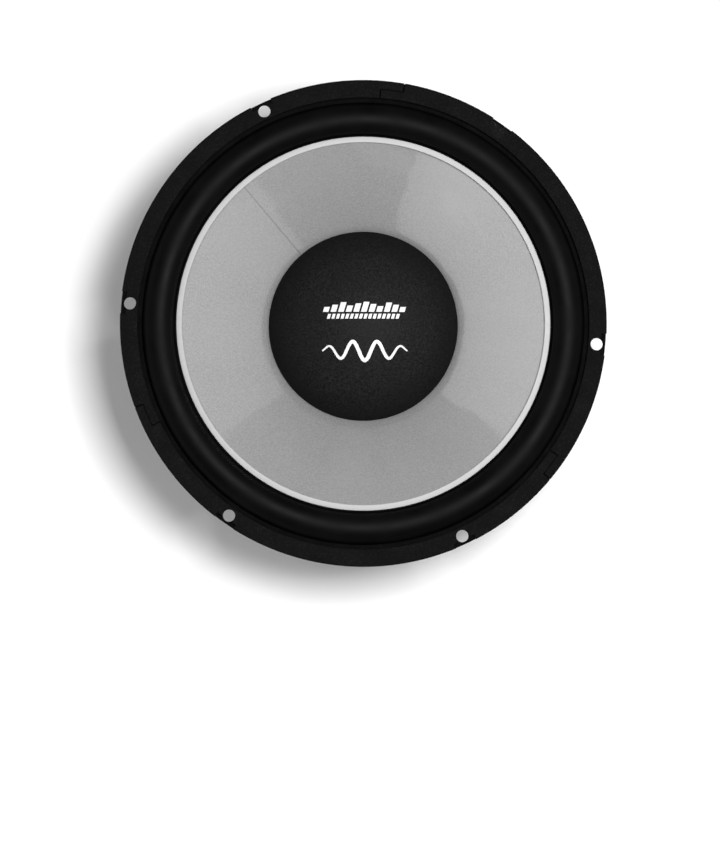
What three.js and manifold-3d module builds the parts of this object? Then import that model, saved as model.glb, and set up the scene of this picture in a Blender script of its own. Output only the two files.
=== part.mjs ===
// A 12-inch class car subwoofer driver, lying on its magnet with the cone facing +Z.
// Millimetres. The origin is the centre of the plane that the rear bump rests on.
// Six basket spokes and bolt holes stand at 0, 60, 120 ... degrees, with the windows between them.
// The terminal window is on the -Y side and the spare tab is opposite it, on the +Y side.

import * as THREE from 'three';
import { mergeVertices } from 'three/addons/utils/BufferGeometryUtils.js';
import Module from 'manifold-3d';

const wasm = await Module();
wasm.setup();

// ---------------------------------------------------------------- driving dimensions

const FLANGE_RADIUS = 154;
const BOLT_CIRCLE_RADIUS = 148.65;
const BOLT_HOLE_RADIUS = 3.9;
const SPOKE_COUNT = 6;
const SHEET = 1.8;
const GAP = 0.3;

const BUMP_FLAT_RADIUS = 30.5;
const BUMP_BASE_RADIUS = 39;
const BUMP_HEIGHT = 5;
const YOKE_RADIUS = 74.8;
const YOKE_THICKNESS = 9;
const MAGNET_RADIUS = 82;
const MAGNET_BORE_RADIUS = 41;
const MAGNET_THICKNESS = 24.9;
const TOP_PLATE_RADIUS = 75.5;
const TOP_PLATE_THICKNESS = 7.7;
const GAP_BORE_RADIUS = 34.6;
const POLE_RADIUS = 31.3;
const VENT_RADIUS = 12.5;
const VENT_MOUTH_RADIUS = 16.4;
const LABEL_INNER_RADIUS = 44;
const LABEL_OUTER_RADIUS = 66;
const LABEL_THICKNESS = 0.25;

const FLANGE_REAR_Z = 145.6;
const FLANGE_EDGE_THICKNESS = 3.6;
const GASKET_INNER_RADIUS = 142.8;
const GASKET_THICKNESS = 4.5;
const GASKET_JOINT_ANGLE = 88;
const GASKET_LAP = 5.6;
const NOTCH_LENGTH = 14;
const NOTCH_DEPTH = 3.3;

const ROLL_INNER_RADIUS = 120;
const ROLL_OUTER_RADIUS = 140.3;
const ROLL_CREST_Z = 156.3;
const ROLL_SKIN = 0.9;
const FOOT_EDGE_RADIUS = 119.3;
const FOOT_OUTER_RADIUS = 144.3;

const CONE_NECK_RADIUS = 33;
const CONE_NECK_Z = 85.5;
const CONE_EDGE_RADIUS = 115.6;
const CONE_EDGE_Z = 146;
const CONE_BOW = 2.2;
const CONE_SKIN = 1.2;
const CONE_LIP_RADIUS = 118.8;
const TRIM_INNER_RADIUS = 115;
const TRIM_OUTER_RADIUS = 118.6;
const DUST_CAP_RADIUS = 61.2;
const DUST_CAP_HEIGHT = 20;

const FORMER_RADIUS = 32.2;
const FORMER_WALL = 0.4;
const WINDING_RADIUS = 33.7;
const WINDING_LENGTH = 24;
const SPIDER_OUTER_RADIUS = 82.2;

const WINDOW_INNER_RADIUS = 84.5;
const WINDOW_OUTER_RADIUS = 130;
const WINDOW_HALF_ANGLE = 18;
const CUP_WALL_TOP_Z = 82;
const TAB_WIDTH = 11;
const TAB_UNDERSIDE_Z = 82.2;
const SPARE_TAB_RADIUS = 101.5;
const SPARE_TAB_HOLE_RADIUS = 97;

const BOARD_RADIUS = 105.7;
const BOARD_LENGTH = 40.7;
const BOARD_WIDTH = 12;
const BOARD_THICKNESS = 1.6;
const BOARD_TILT = 3;
const TERMINAL_OFFSET = 14.7;
const TAG_TIP_RADIUS = 118.5;
const TAG_WIDTH = 4.75;
const TAG_THICKNESS = 0.8;

const ROUND = 60;
const MEDIUM_ROUND = 40;
const COIL_ROUND = 24;
const SMALL_ROUND = 12;

// ---------------------------------------------------------------- worked-out values

const YOKE_FRONT_Z = BUMP_HEIGHT + YOKE_THICKNESS;
const MAGNET_FRONT_Z = YOKE_FRONT_Z + MAGNET_THICKNESS;
const TOP_PLATE_FRONT_Z = MAGNET_FRONT_Z + TOP_PLATE_THICKNESS;
const POLE_TOP_Z = TOP_PLATE_FRONT_Z + 1;
const GAP_CENTRE_Z = MAGNET_FRONT_Z + TOP_PLATE_THICKNESS / 2;
const FLANGE_LEDGE_Z = FLANGE_REAR_Z + SHEET;
const FLANGE_FRONT_Z = FLANGE_REAR_Z + FLANGE_EDGE_THICKNESS;
const GASKET_FRONT_Z = FLANGE_FRONT_Z + GASKET_THICKNESS;
const SHELF_TOP_Z = 74;
const SURROUND_FOOT_Z = FLANGE_LEDGE_Z + 0.1;
const CONE_LIP_TOP_Z = CONE_EDGE_Z + CONE_SKIN / 2;
const INNER_FOOT_Z = CONE_LIP_TOP_Z + GAP;
const BOARD_REAR_Z = TAB_UNDERSIDE_Z - GAP - BOARD_THICKNESS;
const TAG_FRONT_Z = BOARD_REAR_Z - GAP;

// Two points on the outer face of a spoke, which is straight between them.
const SPOKE_LOW = new THREE.Vector2(94.5, 83);
const SPOKE_HIGH = new THREE.Vector2(126.6, 121);
const SPOKE_ALONG = SPOKE_HIGH.clone().sub(SPOKE_LOW).normalize();
const SPOKE_INWARD = new THREE.Vector2(-SPOKE_ALONG.y, SPOKE_ALONG.x);

// ---------------------------------------------------------------- geometry helpers

const radians = THREE.MathUtils.degToRad;

function manifoldOf(positions, triangles) {
  return new wasm.Manifold(new wasm.Mesh({ numProp: 3, vertProperties: positions, triVerts: triangles }));
}

// A solid from a closed geometry, turned right side out if its faces point in.
function solidFrom(geometry) {
  const bare = geometry.clone();
  bare.deleteAttribute('normal');
  bare.deleteAttribute('uv');
  const merged = mergeVertices(bare, 1e-4);
  const positions = new Float32Array(merged.attributes.position.array);
  const triangles = new Uint32Array(merged.index.array);
  const solid = manifoldOf(positions, triangles);
  if (solid.volume() >= 0) return solid;
  for (let i = 0; i < triangles.length; i += 3) {
    [triangles[i + 1], triangles[i + 2]] = [triangles[i + 2], triangles[i + 1]];
  }
  return manifoldOf(positions, triangles);
}

function geometryFrom(solid) {
  const mesh = solid.getMesh();
  const geometry = new THREE.BufferGeometry();
  geometry.setAttribute('position', new THREE.BufferAttribute(new Float32Array(mesh.vertProperties), 3));
  geometry.setIndex(new THREE.BufferAttribute(new Uint32Array(mesh.triVerts), 1));
  geometry.computeVertexNormals();
  return geometry;
}

// A ring turned about Z from a closed outline of [radius, z] points.
function ring(outline, segments) {
  const points = outline.map(([r, z]) => new THREE.Vector2(r, z));
  points.push(points[0].clone());
  const geometry = new THREE.LatheGeometry(points, segments);
  geometry.rotateX(Math.PI / 2);
  return geometryFrom(solidFrom(geometry));
}

// A body turned about Z from an open outline that starts and ends on the axis.
function turned(outline, segments) {
  const points = outline.map(([r, z]) => new THREE.Vector2(r, z));
  const geometry = new THREE.LatheGeometry(points, segments);
  geometry.rotateX(Math.PI / 2);
  return geometryFrom(solidFrom(geometry));
}

// A flat shape in XY, raised from z0 to z1.
function prism(shape, z0, z1, curveSegments = 6) {
  const settings = { depth: z1 - z0, bevelEnabled: false, curveSegments };
  const geometry = new THREE.ExtrudeGeometry(shape, settings);
  geometry.translate(0, 0, z0);
  return geometry;
}

// A radial section of [radius, z] points, given a width across Y.
function rib(outline, width) {
  const shape = new THREE.Shape(outline.map(([r, z]) => new THREE.Vector2(r, z)));
  const geometry = new THREE.ExtrudeGeometry(shape, { depth: width, bevelEnabled: false });
  geometry.rotateX(Math.PI / 2);
  geometry.translate(0, width / 2, 0);
  return geometry;
}

function roundBar(radius, z0, z1, segments = SMALL_ROUND) {
  const geometry = new THREE.CylinderGeometry(radius, radius, z1 - z0, segments);
  geometry.rotateX(Math.PI / 2);
  geometry.translate(0, 0, (z0 + z1) / 2);
  return geometry;
}

// A round wire or tube along a smooth curve through the given points.
function wire(points, radius, sides, steps) {
  const section = new THREE.Shape();
  for (let i = 0; i < sides; i += 1) {
    const turn = (i / sides) * 2 * Math.PI;
    const x = radius * Math.cos(turn);
    const y = radius * Math.sin(turn);
    if (i === 0) section.moveTo(x, y);
    else section.lineTo(x, y);
  }
  section.closePath();
  const path = new THREE.CatmullRomCurve3(points.map((p) => new THREE.Vector3(...p)));
  const geometry = new THREE.ExtrudeGeometry(section, { steps, extrudePath: path, bevelEnabled: false });
  return geometryFrom(solidFrom(geometry));
}

function placed(geometry, degrees, x = 0, y = 0) {
  const copy = geometry.clone();
  copy.translate(x, y, 0);
  copy.rotateZ(radians(degrees));
  return copy;
}

// A rectangle with rounded corners, centred on the origin.
function roundedRectangle(length, width, corner) {
  const x = length / 2;
  const y = width / 2;
  const shape = new THREE.Shape();
  shape.moveTo(-x + corner, -y);
  shape.lineTo(x - corner, -y);
  shape.quadraticCurveTo(x, -y, x, -y + corner);
  shape.lineTo(x, y - corner);
  shape.quadraticCurveTo(x, y, x - corner, y);
  shape.lineTo(-x + corner, y);
  shape.quadraticCurveTo(-x, y, -x, y - corner);
  shape.lineTo(-x, -y + corner);
  shape.quadraticCurveTo(-x, -y, -x + corner, -y);
  return shape;
}

// ---------------------------------------------------------------- materials

function finish(colour, roughness, metalness) {
  return new THREE.MeshStandardMaterial({ color: colour, roughness, metalness });
}

const finishes = {
  blackPaint: () => finish(0x141414, 0.42, 0.1),
  brightZinc: () => finish(0xd8d8d2, 0.28, 0.95),
  ferrite: () => finish(0x3c3e40, 0.6, 0.1),
  gasketRubber: () => finish(0x191919, 0.8, 0),
  surroundFoam: () => finish(0x0d0d0d, 0.7, 0),
  silverPaper: () => finish(0xa4a6a8, 0.45, 0.6),
  whiteTrim: () => finish(0xe4e4e4, 0.35, 0.2),
  blackFelt: () => finish(0x1c1c1c, 0.9, 0),
  orangeLabel: () => finish(0xe67d23, 0.5, 0),
  phenolic: () => finish(0xb0602a, 0.5, 0),
  tinnedBrass: () => finish(0xcfcabc, 0.3, 0.9),
  tinsel: () => finish(0xc9c9c9, 0.4, 0.9),
  spiderCloth: () => finish(0xc79a3c, 0.85, 0),
  kapton: () => finish(0x8d5a22, 0.4, 0.1),
  copper: () => finish(0xb5673a, 0.35, 0.9),
  adhesive: () => finish(0x202020, 0.5, 0),
  ventMesh: () => finish(0x0c0c0c, 0.8, 0.2),
  paperLabel: () => finish(0xf1f1ee, 0.6, 0),
  screwSteel: () => finish(0x8c8c8c, 0.35, 0.9),
};

function part(name, geometry, material) {
  const mesh = new THREE.Mesh(geometry, material());
  mesh.name = name;
  return mesh;
}

// ---------------------------------------------------------------- motor: yoke, magnet, top plate

const yokeOutline = [
  [VENT_MOUTH_RADIUS, 0],
  [BUMP_FLAT_RADIUS, 0],
  [35.2, 0.9],
  [37.9, 2.6],
  [BUMP_BASE_RADIUS, BUMP_HEIGHT],
  [YOKE_RADIUS - 1.5, BUMP_HEIGHT],
  [YOKE_RADIUS, BUMP_HEIGHT + 1.5],
  [YOKE_RADIUS, YOKE_FRONT_Z - 0.8],
  [YOKE_RADIUS - 0.8, YOKE_FRONT_Z],
  [POLE_RADIUS, YOKE_FRONT_Z],
  [POLE_RADIUS, POLE_TOP_Z - 1],
  [POLE_RADIUS - 1, POLE_TOP_Z],
  [VENT_RADIUS + 3.5, POLE_TOP_Z],
  [VENT_RADIUS, POLE_TOP_Z - 5],
  [VENT_RADIUS, 4],
  [VENT_MOUTH_RADIUS, 4],
];

const magnetOutline = [
  [MAGNET_BORE_RADIUS, YOKE_FRONT_Z],
  [MAGNET_RADIUS - 1.2, YOKE_FRONT_Z],
  [MAGNET_RADIUS, YOKE_FRONT_Z + 1.2],
  [MAGNET_RADIUS, MAGNET_FRONT_Z - 1.2],
  [MAGNET_RADIUS - 1.2, MAGNET_FRONT_Z],
  [MAGNET_BORE_RADIUS, MAGNET_FRONT_Z],
];

const SCREW_CIRCLE_RADIUS = 55;
const SCREW_COUNT = 4;
const SCREW_SHANK_RADIUS = 2.2;
const SCREW_DEPTH = 5;

function topPlate() {
  let plate = solidFrom(ring([
    [GAP_BORE_RADIUS, MAGNET_FRONT_Z],
    [TOP_PLATE_RADIUS - 0.8, MAGNET_FRONT_Z],
    [TOP_PLATE_RADIUS, MAGNET_FRONT_Z + 0.8],
    [TOP_PLATE_RADIUS, TOP_PLATE_FRONT_Z - 0.8],
    [TOP_PLATE_RADIUS - 0.8, TOP_PLATE_FRONT_Z],
    [GAP_BORE_RADIUS, TOP_PLATE_FRONT_Z],
  ], MEDIUM_ROUND));
  const holeFloor = TOP_PLATE_FRONT_Z - SCREW_DEPTH - GAP;
  const hole = roundBar(SCREW_SHANK_RADIUS + GAP, holeFloor, TOP_PLATE_FRONT_Z + 1);
  for (let i = 0; i < SCREW_COUNT; i += 1) {
    const cutter = placed(hole, screwAngle(i), SCREW_CIRCLE_RADIUS);
    plate = plate.subtract(solidFrom(cutter));
  }
  return geometryFrom(plate);
}

function screwAngle(index) {
  return 45 + index * (360 / SCREW_COUNT);
}

const basketScrewOutline = [
  [0, TOP_PLATE_FRONT_Z - SCREW_DEPTH],
  [SCREW_SHANK_RADIUS, TOP_PLATE_FRONT_Z - SCREW_DEPTH],
  [SCREW_SHANK_RADIUS, TOP_PLATE_FRONT_Z + SHEET],
  [4.5, TOP_PLATE_FRONT_Z + SHEET],
  [4.2, TOP_PLATE_FRONT_Z + SHEET + 1.8],
  [2.4, TOP_PLATE_FRONT_Z + SHEET + 2.7],
  [0, TOP_PLATE_FRONT_Z + SHEET + 2.7],
];

const labelOutline = [
  [LABEL_INNER_RADIUS, BUMP_HEIGHT - LABEL_THICKNESS],
  [LABEL_OUTER_RADIUS, BUMP_HEIGHT - LABEL_THICKNESS],
  [LABEL_OUTER_RADIUS, BUMP_HEIGHT],
  [LABEL_INNER_RADIUS, BUMP_HEIGHT],
];

const ventScreenOutline = [
  [0, 3],
  [VENT_MOUTH_RADIUS - GAP, 3],
  [VENT_MOUTH_RADIUS - GAP, 3.8],
  [0, 3.8],
];

// ---------------------------------------------------------------- basket

// The pressed sheet: rear face from the hub outwards, then front face back to the hub.
const basketOutline = [
  [44, TOP_PLATE_FRONT_Z],
  [62.5, TOP_PLATE_FRONT_Z],
  [65.5, 50],
  [75.5, 69.5],
  [78.2, SHELF_TOP_Z - SHEET],
  [85.5, 73],
  [90, 76],
  [SPOKE_LOW.x, SPOKE_LOW.y],
  [SPOKE_HIGH.x, SPOKE_HIGH.y],
  [132, 125.8],
  [134.8, 129.8],
  [137.4, 142.3],
  [138.4, 144.6],
  [140.6, FLANGE_REAR_Z],
  [FLANGE_RADIUS, FLANGE_REAR_Z],
  [FLANGE_RADIUS, FLANGE_FRONT_Z],
  [147.6, FLANGE_FRONT_Z],
  [147.6, FLANGE_LEDGE_Z],
  [138.6, FLANGE_LEDGE_Z],
  [136.7, 145.4],
  [135.6, 142.6],
  [133, 130.4],
  [130.6, 127.1],
  [125.1, 122.2],
  [93, 84.3],
  [89, 77.9],
  [85, SHELF_TOP_Z + 0.8],
  [77.3, SHELF_TOP_Z],
  [73.9, 70.4],
  [64, 51],
  [61.6, TOP_PLATE_FRONT_Z + SHEET],
  [44, TOP_PLATE_FRONT_Z + SHEET],
];

// The upright wall of the spider cup, between the spokes.
const cupWallOutline = [
  [82.7, SHELF_TOP_Z - 1],
  [WINDOW_INNER_RADIUS, SHELF_TOP_Z - 1],
  [WINDOW_INNER_RADIUS, CUP_WALL_TOP_Z + 2],
  [82.7, CUP_WALL_TOP_Z + 2],
];

function polar(radius, degrees) {
  return [radius * Math.cos(radians(degrees)), radius * Math.sin(radians(degrees))];
}

// A window between two spokes: two arcs and two radial sides with rounded corners.
function windowShape() {
  const innerCorner = 3.4;
  const outerCorner = 3.2;
  const half = WINDOW_HALF_ANGLE;
  const shape = new THREE.Shape();
  shape.moveTo(...polar(WINDOW_INNER_RADIUS, -half + innerCorner));
  shape.absarc(0, 0, WINDOW_INNER_RADIUS, radians(-half + innerCorner), radians(half - innerCorner), false);
  shape.quadraticCurveTo(...polar(WINDOW_INNER_RADIUS, half), ...polar(WINDOW_INNER_RADIUS + 5, half));
  shape.lineTo(...polar(WINDOW_OUTER_RADIUS - 7, half));
  shape.quadraticCurveTo(
    ...polar(WINDOW_OUTER_RADIUS, half),
    ...polar(WINDOW_OUTER_RADIUS, half - outerCorner),
  );
  shape.absarc(0, 0, WINDOW_OUTER_RADIUS, radians(half - outerCorner), radians(-half + outerCorner), true);
  shape.quadraticCurveTo(...polar(WINDOW_OUTER_RADIUS, -half), ...polar(WINDOW_OUTER_RADIUS - 7, -half));
  shape.lineTo(...polar(WINDOW_INNER_RADIUS + 5, -half));
  shape.quadraticCurveTo(
    ...polar(WINDOW_INNER_RADIUS, -half),
    ...polar(WINDOW_INNER_RADIUS, -half + innerCorner),
  );
  return shape;
}

// A point beside the straight outer face of a spoke: along it from the low end, and inwards from it.
function spokePoint(along, inwards) {
  return [
    SPOKE_LOW.x + SPOKE_ALONG.x * along + SPOKE_INWARD.x * inwards,
    SPOKE_LOW.y + SPOKE_ALONG.y * along + SPOKE_INWARD.y * inwards,
  ];
}

const POCKET_LOW_DEPTH = 1.6;
const POCKET_HIGH_DEPTH = 4.6;
const POCKET_HALF_WIDTH = 14.2;
const POCKET_WIDTH_RADIUS = 115;
const POCKET_START = 1;
const POCKET_END = 52;

// Depth of a pocket's floor under the outer face of its spoke.
function pocketDepth(along) {
  const share = (along - POCKET_START) / (POCKET_END - POCKET_START);
  return POCKET_LOW_DEPTH + (POCKET_HIGH_DEPTH - POCKET_LOW_DEPTH) * share;
}

// A rib whose sides run straight away from the axis, so that it widens outwards.
function radialRib(outline, halfWidth) {
  const geometry = rib(outline, 2 * halfWidth);
  const places = geometry.attributes.position;
  for (let i = 0; i < places.count; i += 1) {
    places.setY(i, (places.getY(i) * places.getX(i)) / POCKET_WIDTH_RADIUS);
  }
  return geometry;
}

// The pressed pocket of a spoke is a tray behind the sheet, less the space inside it.
function spokeTray() {
  return radialRib([
    spokePoint(POCKET_START - SHEET, 0.2),
    spokePoint(POCKET_END - 2, 0.2),
    [132, 126.2],
    [134, 129.6],
    [133.4, 130.8],
    spokePoint(POCKET_END + SHEET, POCKET_HIGH_DEPTH + SHEET),
    spokePoint(POCKET_START - SHEET, POCKET_LOW_DEPTH + SHEET),
  ], POCKET_HALF_WIDTH + SHEET);
}

function spokePocket() {
  return radialRib([
    spokePoint(POCKET_START - 2, -2),
    [138, 122],
    [137, 129.2],
    spokePoint(POCKET_END, POCKET_HIGH_DEPTH),
    spokePoint(POCKET_START, POCKET_LOW_DEPTH),
  ], POCKET_HALF_WIDTH);
}

// A flat tab that stands out of the cup wall towards -Y, with one hole.
function wallTab(tipRadius, holeRadius) {
  const length = tipRadius - WINDOW_INNER_RADIUS + 1;
  const outline = roundedRectangle(TAB_WIDTH, length, 0.8);
  const hole = new THREE.Path();
  hole.absarc(0, tipRadius - length / 2 - holeRadius, 1.9, 0, 2 * Math.PI, true);
  outline.holes.push(hole);
  const geometry = prism(outline, TAB_UNDERSIDE_Z, TAB_UNDERSIDE_Z + SHEET, 5);
  geometry.translate(0, -(tipRadius - length / 2), 0);
  return geometry;
}

function basket() {
  let body = solidFrom(ring(basketOutline, ROUND));
  body = body.add(solidFrom(ring(cupWallOutline, ROUND)));
  const windowCut = prism(windowShape(), SHELF_TOP_Z - SHEET - 2, FLANGE_REAR_Z - 8, 4);
  const tray = spokeTray();
  const pocket = spokePocket();
  const hole = roundBar(BOLT_HOLE_RADIUS, FLANGE_REAR_Z - 1, FLANGE_FRONT_Z + 1);
  for (let i = 0; i < SPOKE_COUNT; i += 1) {
    const spokeAngle = i * (360 / SPOKE_COUNT);
    body = body.subtract(solidFrom(placed(windowCut, spokeAngle + 180 / SPOKE_COUNT)));
    body = body.add(solidFrom(placed(tray, spokeAngle)));
    body = body.subtract(solidFrom(placed(pocket, spokeAngle)));
    body = body.subtract(solidFrom(placed(hole, spokeAngle, BOLT_CIRCLE_RADIUS)));
  }
  const screwHole = roundBar(SCREW_SHANK_RADIUS + GAP, TOP_PLATE_FRONT_Z - 1, TOP_PLATE_FRONT_Z + SHEET + 1);
  for (let i = 0; i < SCREW_COUNT; i += 1) {
    body = body.subtract(solidFrom(placed(screwHole, screwAngle(i), SCREW_CIRCLE_RADIUS)));
  }
  body = body.add(solidFrom(wallTab(BOARD_RADIUS + 5, BOARD_RADIUS)));
  body = body.add(solidFrom(placed(wallTab(SPARE_TAB_RADIUS, SPARE_TAB_HOLE_RADIUS), 180)));
  return geometryFrom(body);
}

// ---------------------------------------------------------------- gasket

// One third of the gasket. Its outer half ends a lap before its inner half at both ends.
function gasketSegment() {
  const middle = (GASKET_INNER_RADIUS + FLANGE_RADIUS) / 2;
  const slit = 0.1;
  const outerStart = -GASKET_LAP / 2 + slit;
  const outerEnd = 120 - GASKET_LAP / 2 - slit;
  const innerStart = GASKET_LAP / 2 + slit;
  const innerEnd = 120 + GASKET_LAP / 2 - slit;
  const shape = new THREE.Shape();
  shape.moveTo(...polar(FLANGE_RADIUS, outerStart));
  shape.absarc(0, 0, FLANGE_RADIUS, radians(outerStart), radians(outerEnd), false);
  shape.absarc(0, 0, middle - slit, radians(outerEnd), radians(innerEnd), false);
  shape.absarc(0, 0, GASKET_INNER_RADIUS, radians(innerEnd), radians(innerStart), true);
  shape.absarc(0, 0, middle + slit, radians(innerStart), radians(outerStart), true);
  return prism(shape, FLANGE_FRONT_Z, GASKET_FRONT_Z, 10);
}

function gasketPiece(index) {
  const turn = GASKET_JOINT_ANGLE + index * 120;
  let piece = solidFrom(placed(gasketSegment(), turn));
  const notch = new THREE.BoxGeometry(2 * NOTCH_DEPTH, NOTCH_LENGTH, GASKET_THICKNESS + 2);
  notch.translate(0, 0, FLANGE_FRONT_Z + GASKET_THICKNESS / 2);
  const hole = roundBar(BOLT_HOLE_RADIUS + 0.4, FLANGE_FRONT_Z - 1, GASKET_FRONT_Z + 1);
  for (let i = 0; i < SPOKE_COUNT; i += 1) {
    const angle = i * (360 / SPOKE_COUNT);
    piece = piece.subtract(solidFrom(placed(notch, angle, FLANGE_RADIUS)));
    piece = piece.subtract(solidFrom(placed(hole, angle, BOLT_CIRCLE_RADIUS)));
  }
  return geometryFrom(piece);
}

// ---------------------------------------------------------------- surround, cone, dust cap

function surroundOutline() {
  const steps = 8;
  const centre = (ROLL_INNER_RADIUS + ROLL_OUTER_RADIUS) / 2;
  const halfWidth = (ROLL_OUTER_RADIUS - ROLL_INNER_RADIUS) / 2;
  const springZ = SURROUND_FOOT_Z + ROLL_SKIN;
  const rise = ROLL_CREST_Z - springZ;
  const outline = [[FOOT_OUTER_RADIUS, SURROUND_FOOT_Z], [FOOT_OUTER_RADIUS, springZ]];
  for (let i = 0; i <= steps; i += 1) {
    const turn = (i / steps) * Math.PI;
    outline.push([centre + halfWidth * Math.cos(turn), springZ + rise * Math.sin(turn)]);
  }
  outline.push([FOOT_EDGE_RADIUS, INNER_FOOT_Z + ROLL_SKIN]);
  outline.push([TRIM_INNER_RADIUS + 0.2, INNER_FOOT_Z + ROLL_SKIN]);
  outline.push([TRIM_INNER_RADIUS + 0.2, INNER_FOOT_Z]);
  outline.push([FOOT_EDGE_RADIUS, INNER_FOOT_Z]);
  for (let i = steps; i >= 0; i -= 1) {
    const turn = (i / steps) * Math.PI;
    const r = centre + (halfWidth - ROLL_SKIN) * Math.cos(turn);
    outline.push([r, SURROUND_FOOT_Z + (rise - 0.1) * Math.sin(turn)]);
  }
  return outline;
}

// Height of the cone's middle surface at a radius: nearly straight, bowed a little to the rear.
function coneZ(radius) {
  const share = (radius - CONE_NECK_RADIUS) / (CONE_EDGE_RADIUS - CONE_NECK_RADIUS);
  return CONE_NECK_Z + (CONE_EDGE_Z - CONE_NECK_Z) * share - CONE_BOW * Math.sin(Math.PI * share);
}

function coneOutline() {
  const steps = 4;
  const front = [];
  const rear = [];
  for (let i = 0; i <= steps; i += 1) {
    const radius = CONE_NECK_RADIUS + (i / steps) * (CONE_EDGE_RADIUS - CONE_NECK_RADIUS);
    front.push([radius, coneZ(radius) + CONE_SKIN / 2]);
    rear.push([radius, coneZ(radius) - CONE_SKIN / 2]);
  }
  front.push([CONE_LIP_RADIUS, CONE_LIP_TOP_Z]);
  rear.push([CONE_LIP_RADIUS, CONE_LIP_TOP_Z - CONE_SKIN]);
  return rear.concat(front.reverse());
}

function trimRingOutline() {
  const base = INNER_FOOT_Z + ROLL_SKIN + GAP;
  return [
    [TRIM_INNER_RADIUS, base],
    [TRIM_OUTER_RADIUS, base],
    [TRIM_OUTER_RADIUS, base + 0.7],
    [TRIM_OUTER_RADIUS - 1, base + 1.4],
    [TRIM_INNER_RADIUS + 1, base + 1.4],
    [TRIM_INNER_RADIUS, base + 0.7],
  ];
}

// A spherical cap whose skirt stands on the cone, open underneath.
function dustCapOutline() {
  const skin = 1;
  const steps = 5;
  const skirtZ = coneZ(DUST_CAP_RADIUS) + CONE_SKIN / 2 + GAP;
  const inside = [];
  const outside = [];
  for (let i = 0; i <= steps; i += 1) {
    const radius = (i / steps) * (DUST_CAP_RADIUS - skin);
    const rise = DUST_CAP_HEIGHT * (1 - (radius / DUST_CAP_RADIUS) ** 2);
    inside.push([radius, skirtZ + rise]);
    outside.push([(i / steps) * DUST_CAP_RADIUS, skirtZ + rise + skin]);
  }
  return inside.concat(outside.reverse());
}

// ---------------------------------------------------------------- voice coil and spider

const formerOutline = [
  [FORMER_RADIUS - FORMER_WALL, GAP_CENTRE_Z - WINDING_LENGTH / 2 - 0.5],
  [FORMER_RADIUS, GAP_CENTRE_Z - WINDING_LENGTH / 2 - 0.5],
  [FORMER_RADIUS, CONE_NECK_Z + 1.5],
  [FORMER_RADIUS - FORMER_WALL, CONE_NECK_Z + 1.5],
];

const windingOutline = [
  [FORMER_RADIUS + 0.1, GAP_CENTRE_Z - WINDING_LENGTH / 2],
  [WINDING_RADIUS, GAP_CENTRE_Z - WINDING_LENGTH / 2],
  [WINDING_RADIUS, GAP_CENTRE_Z + WINDING_LENGTH / 2],
  [FORMER_RADIUS + 0.1, GAP_CENTRE_Z + WINDING_LENGTH / 2],
];

const neckCollarOutline = [
  [FORMER_RADIUS + 0.1, 79.4],
  [FORMER_RADIUS + 3, 79.4],
  [FORMER_RADIUS + 2.2, 84],
  [FORMER_RADIUS + 0.1, 84],
];

// A corrugated disc: four waves between the neck and the foot that is glued to the shelf.
function spiderOutline() {
  const skin = 0.7;
  const waves = 4;
  const stepsPerWave = 4;
  const start = FORMER_RADIUS + 2.4;
  const end = 76;
  const middleZ = 77.2;
  const height = 1.6;
  const line = [[FORMER_RADIUS + 0.4, middleZ]];
  for (let i = 0; i <= waves * stepsPerWave; i += 1) {
    const share = i / (waves * stepsPerWave);
    const z = middleZ + height * Math.sin(2 * Math.PI * waves * share);
    line.push([start + (end - start) * share, z]);
  }
  line.push([78.6, SHELF_TOP_Z + 0.5]);
  line.push([SPIDER_OUTER_RADIUS, SHELF_TOP_Z + 0.8]);
  const top = line.map(([r, z]) => [r, z + skin]).reverse();
  return line.concat(top);
}

// ---------------------------------------------------------------- terminals, leads, small trim

function terminalBoard() {
  let board = solidFrom(prism(roundedRectangle(BOARD_LENGTH, BOARD_WIDTH, 1), 0, BOARD_THICKNESS, 3));
  for (const x of [-TERMINAL_OFFSET, 0, TERMINAL_OFFSET]) {
    board = board.subtract(solidFrom(placed(roundBar(1.8, -1, BOARD_THICKNESS + 1), 0, x)));
  }
  return geometryFrom(board);
}

// A push-on tag: a plate under the rivet, a waist at the board's edge and a chamfered blade.
function terminalTag() {
  const half = TAG_WIDTH / 2;
  const reach = TAG_TIP_RADIUS - BOARD_RADIUS;
  const shape = new THREE.Shape();
  shape.moveTo(-3, 3.4);
  shape.lineTo(-3, -4);
  shape.lineTo(-half, -5.2);
  shape.lineTo(-half, -reach + 1.4);
  shape.lineTo(-half + 1, -reach);
  shape.lineTo(half - 1, -reach);
  shape.lineTo(half, -reach + 1.4);
  shape.lineTo(half, -5.2);
  shape.lineTo(3, -4);
  shape.lineTo(3, 3.4);
  for (const [y, radius] of [[0, 1.8], [-reach + 3.6, 0.8]]) {
    const hole = new THREE.Path();
    hole.absarc(0, y, radius, 0, 2 * Math.PI, true);
    shape.holes.push(hole);
  }
  return prism(shape, 0, TAG_THICKNESS, 5);
}

// A rivet through a stack that starts at z0 and ends at z1, with a round head at each end.
function rivetOutline(z0, z1) {
  return [
    [0, z0 - 1],
    [1.6, z0 - 0.9],
    [2.7, z0 - GAP],
    [1.5, z0 - GAP],
    [1.5, z1 + GAP],
    [2.6, z1 + GAP],
    [1.8, z1 + 0.9],
    [0, z1 + 1],
  ];
}

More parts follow.
